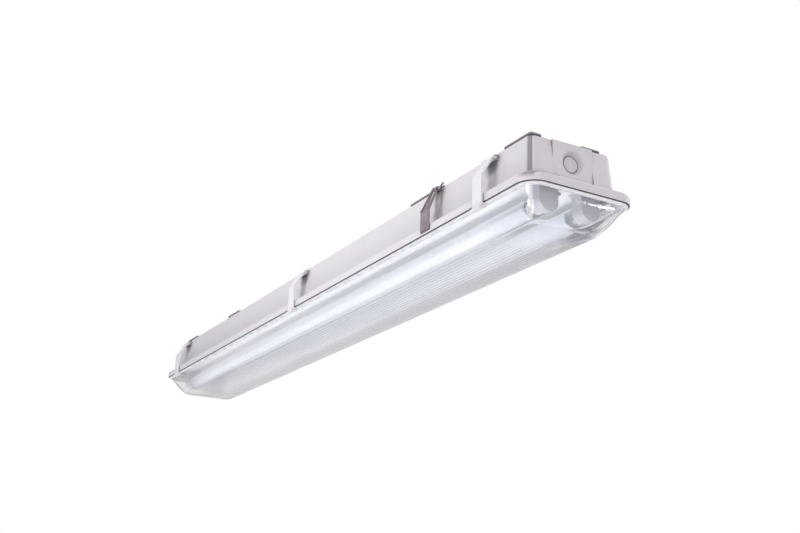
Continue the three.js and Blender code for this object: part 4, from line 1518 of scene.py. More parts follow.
@dataclass
class BackPads(SubAssembly):
    """The foam pads that stand the housing off the ceiling."""

    edge: float = 1.6
    edge_steps: int = 4
    corner_steps: int = 6
    foot_edge: float = 0.3
    groove: float = 0.7
    groove_edge: float = 0.4
    groove_over: float = 0.5
    pitch: float = 6.0
    end_margin: float = 3.0
    nodes: tuple[str, ...] = (
        "front_near", "front_inner_near", "front_inner_far", "front_far",
        "rear_inner_near", "rear_inner_far", "rear_far", "rear_near",
    )

    def grooves(self, half: Vector, top: float) -> list[Piece]:
        """Makes the tools for the cross grooves in a pad's face.

        Args:
            half: Half the pad's length, width and height.
            top: Height of the pad's face.

        Returns:
            The tools, about the pad's middle.
        """
        count = int((half.x - self.end_margin) * 2 / self.pitch)
        cuts = []
        for place in range(count):
            x = (place - (count - 1) / 2) * self.pitch
            start, end = x - self.groove, x + self.groove
            section = rounded([
                (start, top + self.groove_over), (start, top - self.groove),
                (end, top - self.groove), (end, top + self.groove_over),
            ], self.groove_edge)
            cuts.append(drawn(section, Axis.Y, -half.y - OVER, half.y + OVER))
        return cuts

    def build(self) -> None:
        """Builds each pad where its node lies, with cross grooves in its face."""
        for name in self.nodes:
            node = f"back_pad_{name}"
            low, high = (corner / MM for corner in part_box(node))
            middle = (low + high) / 2
            half = (high - low) / 2
            base = Plan(half.x, half.y, 2 * self.edge)
            rings = [base.grown(-self.foot_edge).ring(low.z, self.corner_steps),
                     base.ring(low.z + self.foot_edge, self.corner_steps)]
            for turn in quarter(self.edge_steps):
                plan = base.grown(self.edge * (math.cos(turn) - 1))
                height = high.z - self.edge * (1 - math.sin(turn))
                rings.append(plan.ring(height, self.corner_steps))
            pad = skin(rings)
            work(pad, self.grooves(half, high.z), Work.CUT)
            pad.data.transform(Matrix.Translation(Vector((middle.x, middle.y, 0.0)) * MM))
            shade(pad)
            self.fitter.fit(pad, f"foam_pad_{name}", "pad", "fixture_body", node)


@dataclass
class Gasket(SubAssembly):
    """The rubber channel under the flange that the lens's tongue presses into."""

    inner_drop: float = 7.0
    edge: float = 0.4
    bead: tuple[Pair, ...] = ((0.1, 0.02), (1.9, 0.02), (2.0, 0.35), (1.4, 0.7), (0.75, 0.5))

    def build(self) -> None:
        """Builds the channel with eased legs, and the bead that shows under the skirt."""
        shell = self.shell
        outside = shell.skirt_inside.grown(-shell.gap)
        outer_leg = outside.grown(-shell.gasket_leg)
        inner_leg = shell.tongue.grown(-shell.tongue_thickness - shell.gap)
        inside = inner_leg.grown(-shell.gasket_leg)
        top = shell.flange_under - shell.gap
        bottom = shell.skirt_bottom
        inner_bottom = top - self.inner_drop
        edge = self.edge
        gasket = skin([
            outside.ring(top),
            outside.ring(bottom + edge),
            outside.grown(-edge).ring(bottom),
            outer_leg.grown(edge).ring(bottom),
            outer_leg.ring(bottom + edge),
            outer_leg.ring(top - shell.gasket_web),
            inner_leg.ring(top - shell.gasket_web),
            inner_leg.ring(inner_bottom + edge),
            inner_leg.grown(-edge).ring(inner_bottom),
            inside.grown(edge).ring(inner_bottom),
            inside.ring(inner_bottom + edge),
            inside.ring(top),
        ], closed=True)
        bead = skin([shell.skirt_inside.grown(out).ring(bottom - drop)
                     for out, drop in self.bead], closed=True)
        for piece, name, finish in ((gasket, "gasket_channel", "gasket_body"),
                                    (bead, "gasket_bead", "gasket")):
            shade(piece)
            self.fitter.fit(piece, name, "gasket", "fixture_body", "gasket", finish)


@dataclass
class Lens(SubAssembly):
    """The clear lens: a bowl with a crowned floor, and a milky tongue and lip round its rim."""

    depth: float = 41.2
    wall: float = 2.5
    rim_inset: float = 0.5
    wall_knots: tuple[Triple, ...] = ((12.0, 12.0, 0.26), (22.0, 20.0, 0.55))
    knot_radii: Pair = (20.0, 18.0)
    floor_inset: Pair = (36.0, 31.5)
    floor_radius: float = 14.0
    curve_steps: int = 6
    bend: float = 4.0
    bend_steps: int = 6
    crown: float = 5.5
    crown_run: float = 60.0
    crown_steps: int = 14
    floor_middle: float = 0.125
    least_corner: float = 1.0
    lip_reach: float = 3.5
    lip_thickness: float = 2.5
    lip_chamfer: float = 1.7
    lip_edge: float = 1.0
    edge: float = 0.5

    @property
    def lip(self) -> Plan:
        """Plan of the lip under the skirt."""
        return self.shell.tongue.grown(self.lip_reach)

    @property
    def lip_top(self) -> float:
        """Height of the lip's upper face."""
        return self.shell.skirt_bottom - self.shell.gap

    @property
    def lip_bottom(self) -> float:
        """Height of the lip's under face."""
        return self.lip_top - self.lip_thickness

    def floor_point(self, share: float) -> Vector:
        """Gives the floor's outside at a share of its half width.

        Args:
            share: From 0 at the middle to 1 at the edge.

        Returns:
            Half length, half width, corner radius and height there.
        """
        flange = self.shell.flange
        edge_x = flange.x - self.floor_inset[0]
        edge_y = flange.y - self.floor_inset[1]
        bottom = self.shell.skirt_bottom - self.depth
        return Vector((edge_x - self.crown_run * (1 - share), edge_y * share,
                       min(self.floor_radius, edge_y * share) * share,
                       bottom + self.crown * share * share))

    def outside(self) -> list[Vector]:
        """Walks the bowl's outside from its rim to the middle of its floor.

        Returns:
            Half length, half width, corner radius and height at each step.
        """
        flange = self.shell.flange
        rim = self.shell.tongue.grown(-self.rim_inset)
        knots = [Vector((rim.x, rim.y, rim.r, self.lip_bottom))]
        for (end, side, share), radius in zip(self.wall_knots, self.knot_radii):
            knots.append(Vector((flange.x - end, flange.y - side, radius,
                                 self.shell.skirt_bottom - self.depth * share)))
        edge = self.floor_point(1.0)
        wall = smooth([*knots, edge], self.curve_steps)
        run = 1 - self.floor_middle
        floor = [self.floor_point(1 - run * step / self.crown_steps)
                 for step in range(self.crown_steps + 1)]

        def away(point: Vector) -> float:
            """Measures how far a point of the cross section lies from the floor's edge."""
            return math.hypot(point.y - edge.y, point.w - edge.w)

        start, end = (edge.lerp(point, self.bend / away(point)) for point in (wall[-2], floor[1]))
        shares = [step / self.bend_steps for step in range(self.bend_steps + 1)]
        rounding = [start.lerp(edge, share).lerp(edge.lerp(end, share), share) for share in shares]
        return ([point for point in wall if away(point) > self.bend] + rounding
                + [point for point in floor if away(point) > self.bend])

    def inside(self) -> list[Vector]:
        """Sets the outside in by the wall's thickness.

        Returns:
            The inside's steps, in the order of the outside's.
        """
        line = self.outside()
        inner = []
        for place, point in enumerate(line):
            along = line[min(place + 1, len(line) - 1)] - line[max(place - 1, 0)]
            slope_x = along.w / along.x
            slope_y = along.w / along.y
            rise = self.wall / math.hypot(1, slope_y)
            inset_x = (self.wall * math.hypot(1, slope_x) - rise) / slope_x
            inset_y = rise * slope_y
            radius = point.z - (inset_x + inset_y) / 2
            inner.append(Vector((point.x - inset_x, point.y - inset_y,
                                 max(radius, self.least_corner), point.w + rise)))
        return inner

    def bowl(self) -> Piece:
        """Makes the clear bowl.

        Returns:
            The bowl.
        """
        steps = [*reversed(self.inside()), *self.outside()]
        bowl = skin([Plan(step.x, step.y, step.z).ring(step.w) for step in steps])
        shade(bowl, angle=50.0)
        bowl.visible_shadow = False
        return bowl

    def rim(self) -> Piece:
        """Makes the tongue that stands in the gasket, and the lip that the latches hold.

        Returns:
            The rim.
        """
        tongue = self.shell.tongue
        inner = tongue.grown(-self.shell.tongue_thickness)
        top = self.shell.flange_under - self.shell.gasket_web - 2 * self.shell.gap
        bottom = self.lip_bottom
        rim = skin([
            inner.grown(-self.edge).ring(bottom),
            inner.ring(top - self.edge),
            inner.grown(self.edge).ring(top),
            tongue.grown(-self.edge).ring(top),
            tongue.ring(top - self.edge),
            tongue.ring(self.lip_top),
            self.lip.grown(-self.lip_edge).ring(self.lip_top),
            self.lip.ring(self.lip_top - self.lip_edge),
            self.lip.ring(bottom + self.lip_chamfer),
            self.lip.grown(-self.lip_chamfer).ring(bottom),
        ], closed=True)
        shade(rim, angle=50.0)
        return rim

    def build(self) -> None:
        """Builds the bowl and its rim."""
        self.fitter.fit(self.bowl(), "lens_bowl", "lens", "lens_tray", "lens")
        self.fitter.fit(self.rim(), "lens_rim", "lens", "lens_tray", "lens", "lens_rim")


@dataclass
class Latches(SubAssembly):
    """Six polymer latches that turn on trunnions and hook under the lens's lip."""

    lens: Lens
    arm: float = 2.4
    arm_start: float = 1.0
    kink_drop: float = 34.0
    kink_radius: float = 4.0
    trunnion: float = 1.8
    pin_edge: float = 0.3
    overlap: float = 2.3
    hook_height: float = 4.2
    hook_edge: float = 0.5
    thumb: float = 3.0
    grip_pitch: float = 1.1
    grip_margin: float = 3.0
    grip_half: float = 0.25
    grip_depth: float = 0.35
    grip_over: float = 0.5
    edge: float = 0.35

    @property
    def reach(self) -> float:
        """Distance of the arm's inner face from the middle plane."""
        return self.shell.flange.y + 2 * self.shell.gap

    def from_pivot(self, reach: float, height: float) -> Pair:
        """Gives a place of the front side as Y and Z from the latch's pivot."""
        return self.shell.pivot_reach - reach, height + self.shell.pivot_drop

    def pin(self, radius: float, half: float) -> Piece:
        """Makes a round bar with eased ends along the pivot.

        Args:
            radius: The bar's radius.
            half: Half its length.

        Returns:
            The bar.
        """
        edge = self.pin_edge
        profile = [(0.0, -half), (radius - edge, -half), (radius, edge - half),
                   (radius, half - edge), (radius - edge, half), (0.0, half)]
        return turned(profile, Axis.X, sides=32)

    def pattern(self) -> Piece:
        """Makes one latch about its pivot, as it lies on the front side.

        Returns:
            The latch.
        """
        shell, lip = self.shell, self.lens.lip.y
        half = shell.latch_width / 2
        outer = self.reach + self.arm
        hook_top = self.lens.lip_bottom + self.lens.lip_chamfer - shell.gap * math.sqrt(2)
        tip = lip - self.overlap
        tip_top = hook_top - self.overlap
        bottom = tip_top - self.hook_height
        line = rounded([
            (self.reach, bottom), (self.reach, -self.kink_drop),
            (shell.pivot_reach + self.arm_start, -shell.pivot_drop - self.arm_start),
        ], self.kink_radius, closed=False, steps=8)
        arm = thickened([self.from_pivot(*point) for point in line], self.arm)
        hook = rounded([self.from_pivot(*point) for point in (
            (outer, hook_top), (lip, hook_top), (tip, tip_top),
            (tip, bottom + self.hook_height / 3), (tip + self.hook_height / 3, bottom),
            (outer + self.thumb, bottom - self.thumb / 2),
            (outer + self.thumb, bottom + self.thumb / 2), (outer, bottom + self.thumb),
        )], self.hook_edge, steps=3)
        latch = drawn(arm, Axis.X, -half, half)
        work(latch, [
            drawn(hook, Axis.X, -half, half), self.pin(shell.hub, half),
            self.pin(self.trunnion, half + 2 * shell.gap + shell.ear),
        ], Work.JOIN)
        work(latch, self.grips(), Work.CUT)
        ease(latch, self.edge)
        shade(latch)
        return latch

    def grips(self) -> list[Piece]:
        """Makes the tools for the grip grooves in the latch's thumb edge.

        Returns:
            The tools.
        """
        half = self.shell.latch_width / 2 - self.grip_margin
        reach = self.reach + self.arm + self.thumb
        base = self.lens.lip_bottom + self.lens.lip_chamfer - self.overlap - self.hook_height
        tools = []
        for place in (-1, 0, 1):
            thumb, height = self.from_pivot(reach, base + place * self.grip_pitch)
            groove = [(thumb - self.grip_over, height - self.grip_half),
                      (thumb + self.grip_depth, height),
                      (thumb - self.grip_over, height + self.grip_half)]
            tools.append(drawn(groove, Axis.X, -half, half))
        return tools

    def build(self) -> None:
        """Builds the six latches."""
        pattern = self.pattern()
        for name, x in zip(("near", "middle", "far"), self.shell.latch_rows):
            for side in (Side.FRONT, Side.REAR):
                place = (-x if side.turned else x, -self.shell.pivot_reach, -self.shell.pivot_drop)
                self.fitter.set_out(pattern, f"lens_latch_{side.value}_{name}", place, side.turned,
                                    "latch", f"{side.value}_{name}_latch",
                                    f"latch_{side.value}_{name}")
        discard(pattern)


@dataclass
class HangerClips(SubAssembly):
    """Two slotted steel clips with rolled eyes, their screws and their wire hooks."""

    width: float = 22.0
    top_width: float = 15.0
    bend: float = 2.2
    edge: float = 0.22
    kink_drop: float = 38.0
    eye_bore: float = 1.7
    eye_stand_off: float = 3.5
    eye_gap_start: float = 1.0
    tab: float = 27.5
    slot_width: float = 6.0
    slot_bottom: float = 24.0
    slot_top: float = 6.0
    bead_width: float = 2.4
    bead_height: float = 1.1
    wire: float = 1.3
    rise: float = 8.0
    loop_drop: float = 4.2
    lean: float = 5.0
    screw: float = 1.9

    @property
    def eye(self) -> Pair:
        """Reach and height of the eye's centre."""
        return self.shell.back.y + self.eye_stand_off, self.shell.gap - self.eye_bore

    @property
    def eye_outer(self) -> float:
        """Radius of the eye's outside."""
        return self.eye_bore + self.shell.clip_sheet

    def arm_line(self) -> list[Pair]:
        """Finds the arm's inner face.

        Returns:
            The kink and the arm's top, as Y and Z of the front side.
        """
        reach, height = self.eye
        plate = self.shell.flange.y + self.shell.gap
        run = plate - reach
        rise = self.kink_drop + height
        length = math.hypot(run, rise)
        top = (-(reach + self.eye_bore * rise / length), height + self.eye_bore * run / length)
        return [(-plate, -self.kink_drop), top]

    def strap(self) -> Piece:
        """Makes the bent strap with its eye, its tab and the raised edges of its arm.

        Returns:
            The strap, before its cuts.
        """
        shell, sheet = self.shell, self.shell.clip_sheet
        half = self.width / 2
        narrow = self.top_width / 2
        lip = shell.skirt_bottom + shell.clip_lip_raise
        kink, top = self.arm_line()
        line = rounded([(-shell.flange.y + shell.clip_lip_depth, lip), (kink[0], lip),
                        kink, top], self.bend, closed=False, steps=6)
        strap = drawn(thickened(line, sheet), Axis.X, -half, half)
        reach, height = self.eye
        eye = rod(self.eye_outer, -narrow, narrow, Axis.X, (-reach, height), sides=40)
        section = [(-narrow, -reach), (narrow, -reach),
                   *arc((0.0, self.tab - reach - narrow), narrow, 0.0, 180.0, steps=18)]
        tab = drawn(section, Axis.Z, shell.gap, shell.gap + sheet)
        work(strap, [self.rails(), eye, tab], Work.JOIN)
        return strap

    def rails(self) -> Piece:
        """Makes the raised edges of the arm.

        Returns:
            The two edges as one piece.
        """
        half = self.width / 2
        thick = thickened(self.arm_line(), self.shell.clip_sheet + self.bead_height)
        rails = drawn(thick, Axis.X, -half, half)
        wide = half - self.bead_width
        narrow = self.top_width / 2 - self.bead_width
        height = self.eye[1] + self.eye_outer + OVER
        middle = [(-wide, -self.kink_drop - self.width), (wide, -self.kink_drop - self.width),
                  (wide, -self.kink_drop), (narrow, -self.slot_top), (narrow, height),
                  (-narrow, height), (-narrow, -self.slot_top), (-wide, -self.kink_drop)]
        inside = drawn(middle, Axis.Y, -self.shell.flange.y - self.width, self.tab)
        work(rails, [inside], Work.CUT)
        return rails

    def cuts(self) -> list[Piece]:
        """Makes the tapers, the slot, the eye's bore and gap, and the screw hole.

        Returns:
            The tools.
        """
        shell, sheet = self.shell, self.shell.clip_sheet
        reach, height = self.eye
        top = height + self.eye_outer + OVER
        outside = -shell.flange.y - self.width
        wide = self.width / 2
        narrow = self.top_width / 2
        tools = []
        for side in (-1.0, 1.0):
            wedge = [(side * wide, -self.kink_drop), (side * (wide + OVER), -self.kink_drop),
                     (side * (wide + OVER), top), (side * narrow, top),
                     (side * narrow, -self.slot_top)]
            tools.append(drawn(wedge, Axis.Y, outside, self.tab))
        bore = wide + OVER
        tools.append(rod(self.eye_bore, -bore, bore, Axis.X, (-reach, height), sides=32))
        end = self.slot_width / 2
        slot = [*arc((0.0, -self.slot_top - end), end, 0.0, 180.0, steps=10),
                *arc((0.0, -self.slot_bottom + end), end, 180.0, 360.0, steps=10)]
        tools.append(drawn(slot, Axis.Y, outside, 0.0))
        tools.append(block((self.eye_gap_start, outside,
                            -self.slot_top - sheet),
                           (wide, -reach + self.eye_outer + OVER, top)))
        tools.append(rod(self.screw + shell.gap, -OVER,
                         shell.gap + sheet + OVER, Axis.Z,
                         (0.0, -shell.clip_screw_reach)))
        return tools

    def hook(self) -> Piece:
        """Makes the wire hook about its eye: in through the eye, down in a loop and up.

        Returns:
            The hook.
        """
        narrow = self.top_width / 2
        side = narrow + 2 * self.wire
        points = [
            (-narrow - 2 * self.wire, 0.0, 0.0),
            (-narrow / 2, 0.0, 0.0),
            (0.0, 0.0, 0.0),
            (narrow / 3, -self.wire / 2, -self.wire / 2),
            (narrow - self.wire, -self.loop_drop / 2, -self.loop_drop),
            (side - self.wire, -self.loop_drop * 2 / 3, -self.loop_drop - self.wire),
            (side, -self.loop_drop / 2, -self.loop_drop / 2),
            (side, 0.0, self.rise / 4),
            (side, self.lean / 3, self.rise / 2),
            (side - self.wire, self.lean * 2 / 3, self.rise * 3 / 4),
        ]
        hook = wire(smooth(points, steps=6), self.wire)
        shade(hook, angle=50.0)
        return hook

    def build(self) -> None:
        """Builds both clips with their screws and hooks."""
        shell, sheet = self.shell, self.shell.clip_sheet
        clip = self.strap()
        work(clip, self.cuts(), Work.CUT)
        ease(clip, self.edge, 40.0)
        shade(clip)
        hook = self.hook()
        screw = Screw(self.screw, shell.wall + 2 * sheet, 2 * self.screw, self.screw).pattern()
        reach, height = self.eye
        seat = 2 * shell.gap + sheet
        for side, x in ((Side.NEAR, shell.clip_near), (Side.FAR, -shell.clip_far)):
            name = side.value
            self.fitter.set_out(clip, f"steel_clip_{name}", (x, 0.0, 0.0), side.turned,
                                "stainless", "fixture_body", f"hanger_clip_{name}")
            self.fitter.set_out(hook, f"wire_hook_{name}", (x, -reach, height), side.turned,
                                "stainless", f"{name}_hook", f"hanger_hook_{name}")
            self.fitter.set_out(screw, f"tab_screw_{name}", (x, -shell.clip_screw_reach, seat),
                                side.turned, "zinc", "fixture_body", f"clip_screw_{name}")
        discard(clip, hook, screw)


@dataclass
class Screw:
    """A pan headed screw with a cross recess, head up, drawn from the seat of its head.

    The fields from the tip on are shares of the shank's radius or of the head's sizes.
    """

    radius: float
    length: float
    head: float
    head_height: float
    pitch: float = 1.3
    cross_over: float = 0.2
    tip: float = 0.4
    root: float = 0.8
    neck: float = 0.85
    crown: tuple[Pair, Pair] = ((0.62, 0.38), (0.4, 0.6))
    crown_steps: int = 6
    cross_reach: float = 0.52
    cross_half: float = 0.12
    cross_taper: float = 0.6
    cross_floor: float = 0.45

    def profile(self) -> list[Pair]:
        """Draws the screw's outline, with grooves round its shank for the thread.

        Returns:
            Radius and height from the tip to the crown.
        """
        profile: list[Pair] = [(0.0, -self.length), (self.radius * self.tip, -self.length)]
        run = -self.length + self.radius
        while run < -self.pitch:
            profile.append((self.radius * self.root, run))
            profile.append((self.radius, run + self.pitch / 2))
            run += self.pitch
        neck = self.radius * self.neck
        profile += [(neck, run), (neck, 0.0), (self.head, 0.0)]
        (flat, swell), (edge, dome) = self.crown
        for turn in quarter(self.crown_steps):
            profile.append((self.head * (flat + swell * math.cos(turn)),
                            self.head_height * (edge + dome * math.sin(turn))))
        profile.append((0.0, self.head_height))
        return profile

    def pattern(self) -> Piece:
        """Makes the screw with its cross recess.

        Returns:
            The screw.
        """
        screw = turned(self.profile(), Axis.Z, sides=28)
        arm = self.head * self.cross_reach
        slot = self.head * self.cross_half
        depth = self.head_height * self.cross_floor
        top = self.head_height + self.cross_over
        section = [(-slot, top), (-slot * self.cross_taper, depth),
                   (slot * self.cross_taper, depth), (slot, top)]
        work(screw, [drawn(section, axis, -arm, arm) for axis in (Axis.X, Axis.Y)], Work.CUT)
        shade(screw, angle=35.0)
        return screw


@dataclass
class GearTray(SubAssembly):
    """The folded white tray with its pressed ridge, studs and screws."""

    half_length: float = 620.0
    half_width: float = 60.5
    sheet: float = 1.2
    turn_up: float = 12.0
    bend: float = 1.6
    ridge_foot: float = 12.0
    ridge_top: float = 7.5
    ridge_height: float = 7.0
    ridge_clear: float = 8.0
    ridge_steps: tuple[Pair, ...] = ((0.0, -1.0), (0.08, 0.0), (0.5, 0.0), (0.84, 0.0),
                                     (0.95, 0.5), (1.0, 1.4))
    corner_steps: int = 6
    screw: float = 1.9
    screw_length: float = 14.0
    screw_hole: float = 2.5
    head: float = 4.1
    head_height: float = 2.4
    holder_middle: float = 610.0
    peg_hole: Pair = (6.3, 4.8)
    studs: tuple[Pair, ...] = ((-187.0, -16.5), (67.0, 16.5), (470.0, 16.5))
    stud_height: float = 8.0
    stud_edge: float = 0.4

    @property
    def face(self) -> float:
        """Height of the tray's under face."""
        return self.shell.tray_back - self.sheet

    def ridge(self, shrink: float, rise: float) -> Piece:
        """Makes the pressed ridge between the lamps as a solid.

        Args:
            shrink: How much smaller than the outside it is.
            rise: How much higher than the outside it lies.

        Returns:
            The solid.
        """
        length = self.shell.screw_row_x - self.ridge_clear - self.ridge_foot
        foot = Plan(length, self.ridge_foot, self.ridge_foot / 2)
        top = Plan(length - self.ridge_foot + self.ridge_top, self.ridge_top, self.ridge_top / 2)
        rings = [foot.grown(-shrink).ring(self.shell.tray_back + rise, self.corner_steps)]
        for share, inset in self.ridge_steps:
            plan = foot.toward(top, share).grown(-shrink - inset)
            rings.append(plan.ring(self.face - self.ridge_height * share + rise,
                                   self.corner_steps))
        return skin(rings)

    def stud(self, x: float, y: float) -> Piece:
        """Makes a stud for a nut of the control gear.

        Args:
            x: The stud's place along the fixture.
            y: Its place across.

        Returns:
            The stud.
        """
        start = self.face + self.sheet / 2
        top = self.shell.tray_back + self.stud_height
        profile = [(0.0, start), (self.screw, start), (self.screw, top - self.stud_edge),
                   (self.screw - self.stud_edge, top), (0.0, top)]
        return turned(profile, Axis.Z, (x, y), sides=24)

    def holes(self) -> list[Piece]:
        """Makes the tools for the screw holes and the lampholders' peg holes.

        Returns:
            The tools.
        """
        shell = self.shell
        start, end = self.face - OVER, shell.tray_back + OVER
        tools = [rod(self.screw_hole, start, end, Axis.Z, (x, y), sides=28)
                 for y in shell.screw_rows for x in (-shell.screw_row_x, shell.screw_row_x)]
        across, aside = self.peg_hole
        for x in (-self.holder_middle, self.holder_middle):
            for y in (-shell.lamp_reach, shell.lamp_reach):
                tools.append(block((x - across, y - aside, start), (x + across, y + aside, end)))
        return tools

    def build(self) -> None:
        """Builds the tray and its six screws."""
        edge = self.shell.tray_back + self.turn_up
        line = rounded([(-self.half_width, edge), (-self.half_width, self.face),
                        (self.half_width, self.face), (self.half_width, edge)],
                       self.bend, closed=False)
        tray = drawn(thickened(line, self.sheet), Axis.X, -self.half_length, self.half_length)
        work(tray, [self.ridge(0.0, 0.0), *(self.stud(x, y) for x, y in self.studs)], Work.JOIN)
        work(tray, [self.ridge(self.sheet, self.sheet), *self.holes()], Work.CUT)
        shade(tray)
        self.fitter.fit(tray, "gear_tray_sheet", "enamel", "fixture_body", "gear_tray")
        self.screws()

    def screws(self) -> None:
        """Builds the tray's screws, heads down."""
        pattern = Screw(self.screw, self.screw_length, self.head, self.head_height).pattern()
        pattern.data.transform(Matrix.Rotation(math.pi, 4, "X"))
        seat = self.face - self.shell.gap
        for name, y in zip(("front", "middle", "rear"), self.shell.screw_rows):
            for side in (Side.NEAR, Side.FAR):
                self.fitter.set_out(pattern, f"tray_fixing_{side.value}_{name}",
                                    (self.shell.screw_row_x, -y if side.turned else y, seat),
                                    side.turned, "zinc", "fixture_body",
                                    f"tray_screw_{side.value}_{name}")
        discard(pattern)


@dataclass
class Lampholders(SubAssembly):
    """Four round-bottomed lampholders with their rotors."""

    tray_face: float
    face: float = 600.0
    thickness: float = 20.0
    radius: float = 14.0
    bevel: float = 1.4
    edge: float = 0.3
    ease_angle: float = 50.0
    foot: float = 2.0
    peg_width: float = 9.0
    peg_length: float = 12.0
    peg_rise: float = 5.0
    recess_edge: float = 0.8
    rotor: float = 8.6
    rotor_length: float = 9.0
    rotor_edge: float = 0.5
    rotor_ease: float = 0.25
    pin_slot: float = 1.5
    pin_depth: float = 7.8
    stub: float = 3.0
    stub_length: float = 4.0

    def holder(self) -> Piece:
        """Makes one lampholder from its face at the lamp's axis.

        Returns:
            The lampholder.
        """
        shell = self.shell
        top = self.tray_face - shell.gap - shell.lamp_axis
        outline = [(self.radius, top), (-self.radius, top),
                   *arc((0.0, 0.0), self.radius, 180.0, 360.0, steps=32)]
        body = drawn(outline, Axis.X, 0.0, self.thickness)
        ease(body, self.bevel, self.ease_angle, segments=4)
        foot_half = self.radius + self.foot
        middle = self.thickness / 2
        peg_top = shell.tray_back + self.peg_rise - shell.lamp_axis
        work(body, [
            block((-self.foot, -foot_half, top - self.foot),
                  (self.thickness, foot_half, top)),
            block((middle - self.peg_length / 2, -self.peg_width / 2,
                   top - self.foot),
                  (middle + self.peg_length / 2, self.peg_width / 2, peg_top)),
        ], Work.JOIN)
        work(body, self.holder_cuts(), Work.CUT)
        ease(body, self.edge, self.ease_angle)
        shade(body)
        return body

    def holder_cuts(self) -> list[Piece]:
        """Makes the tools for the rotor's recess and bearing, and the way in for the pins.

        Returns:
            The tools.
        """
        gap = self.shell.gap
        recess = self.rotor_length + 2 * gap
        slot = self.pin_slot + gap
        clear = self.rotor + gap
        profile = [(0.0, -OVER), (clear + OVER, -OVER), (clear + self.recess_edge, 0.0),
                   (clear, self.recess_edge), (clear, recess), (0.0, recess)]
        return [
            turned(profile, Axis.X),
            rod(self.stub + gap, 0.0, recess + self.stub_length + gap,
                Axis.X),
            block((-OVER, -slot, -self.radius - OVER), (recess, slot, 0.0)),
        ]

    def rotor_pattern(self) -> Piece:
        """Makes one rotor with its pin slot, from the holder's face at the lamp's axis.

        Returns:
            The rotor.
        """
        front = self.shell.gap
        back = front + self.rotor_length
        end = back + self.stub_length
        profile = [(0.0, front), (self.rotor - self.rotor_edge, front),
                   (self.rotor, front + self.rotor_edge), (self.rotor, back),
                   (self.stub, back), (self.stub, end), (0.0, end)]
        rotor = turned(profile, Axis.X)
        slot = block((front - OVER, -self.rotor - OVER, -self.pin_slot),
                     (front + self.pin_depth, self.rotor + OVER, self.pin_slot))
        work(rotor, [slot], Work.CUT)
        ease(rotor, self.rotor_ease, self.ease_angle)
        shade(rotor)
        return rotor

    def build(self) -> None:
        """Builds the four lampholders and their rotors."""
        holder = self.holder()
        rotor = self.rotor_pattern()
        reach = self.shell.lamp_reach
        for end in (Side.NEAR, Side.FAR):
            for row, y in ((Side.FRONT, -reach), (Side.REAR, reach)):
                place = (self.face, -y if end.turned else y, self.shell.lamp_axis)
                name = f"{end.value}_{row.value}"
                self.fitter.set_out(holder, f"lamp_socket_{name}", place, end.turned, "holder",
                                    "fixture_body", f"lampholder_{name}")
                self.fitter.set_out(rotor, f"pin_rotor_{name}", place, end.turned, "block",
                                    f"{row.value}_lamp", f"rotor_{name}")
        discard(holder, rotor)


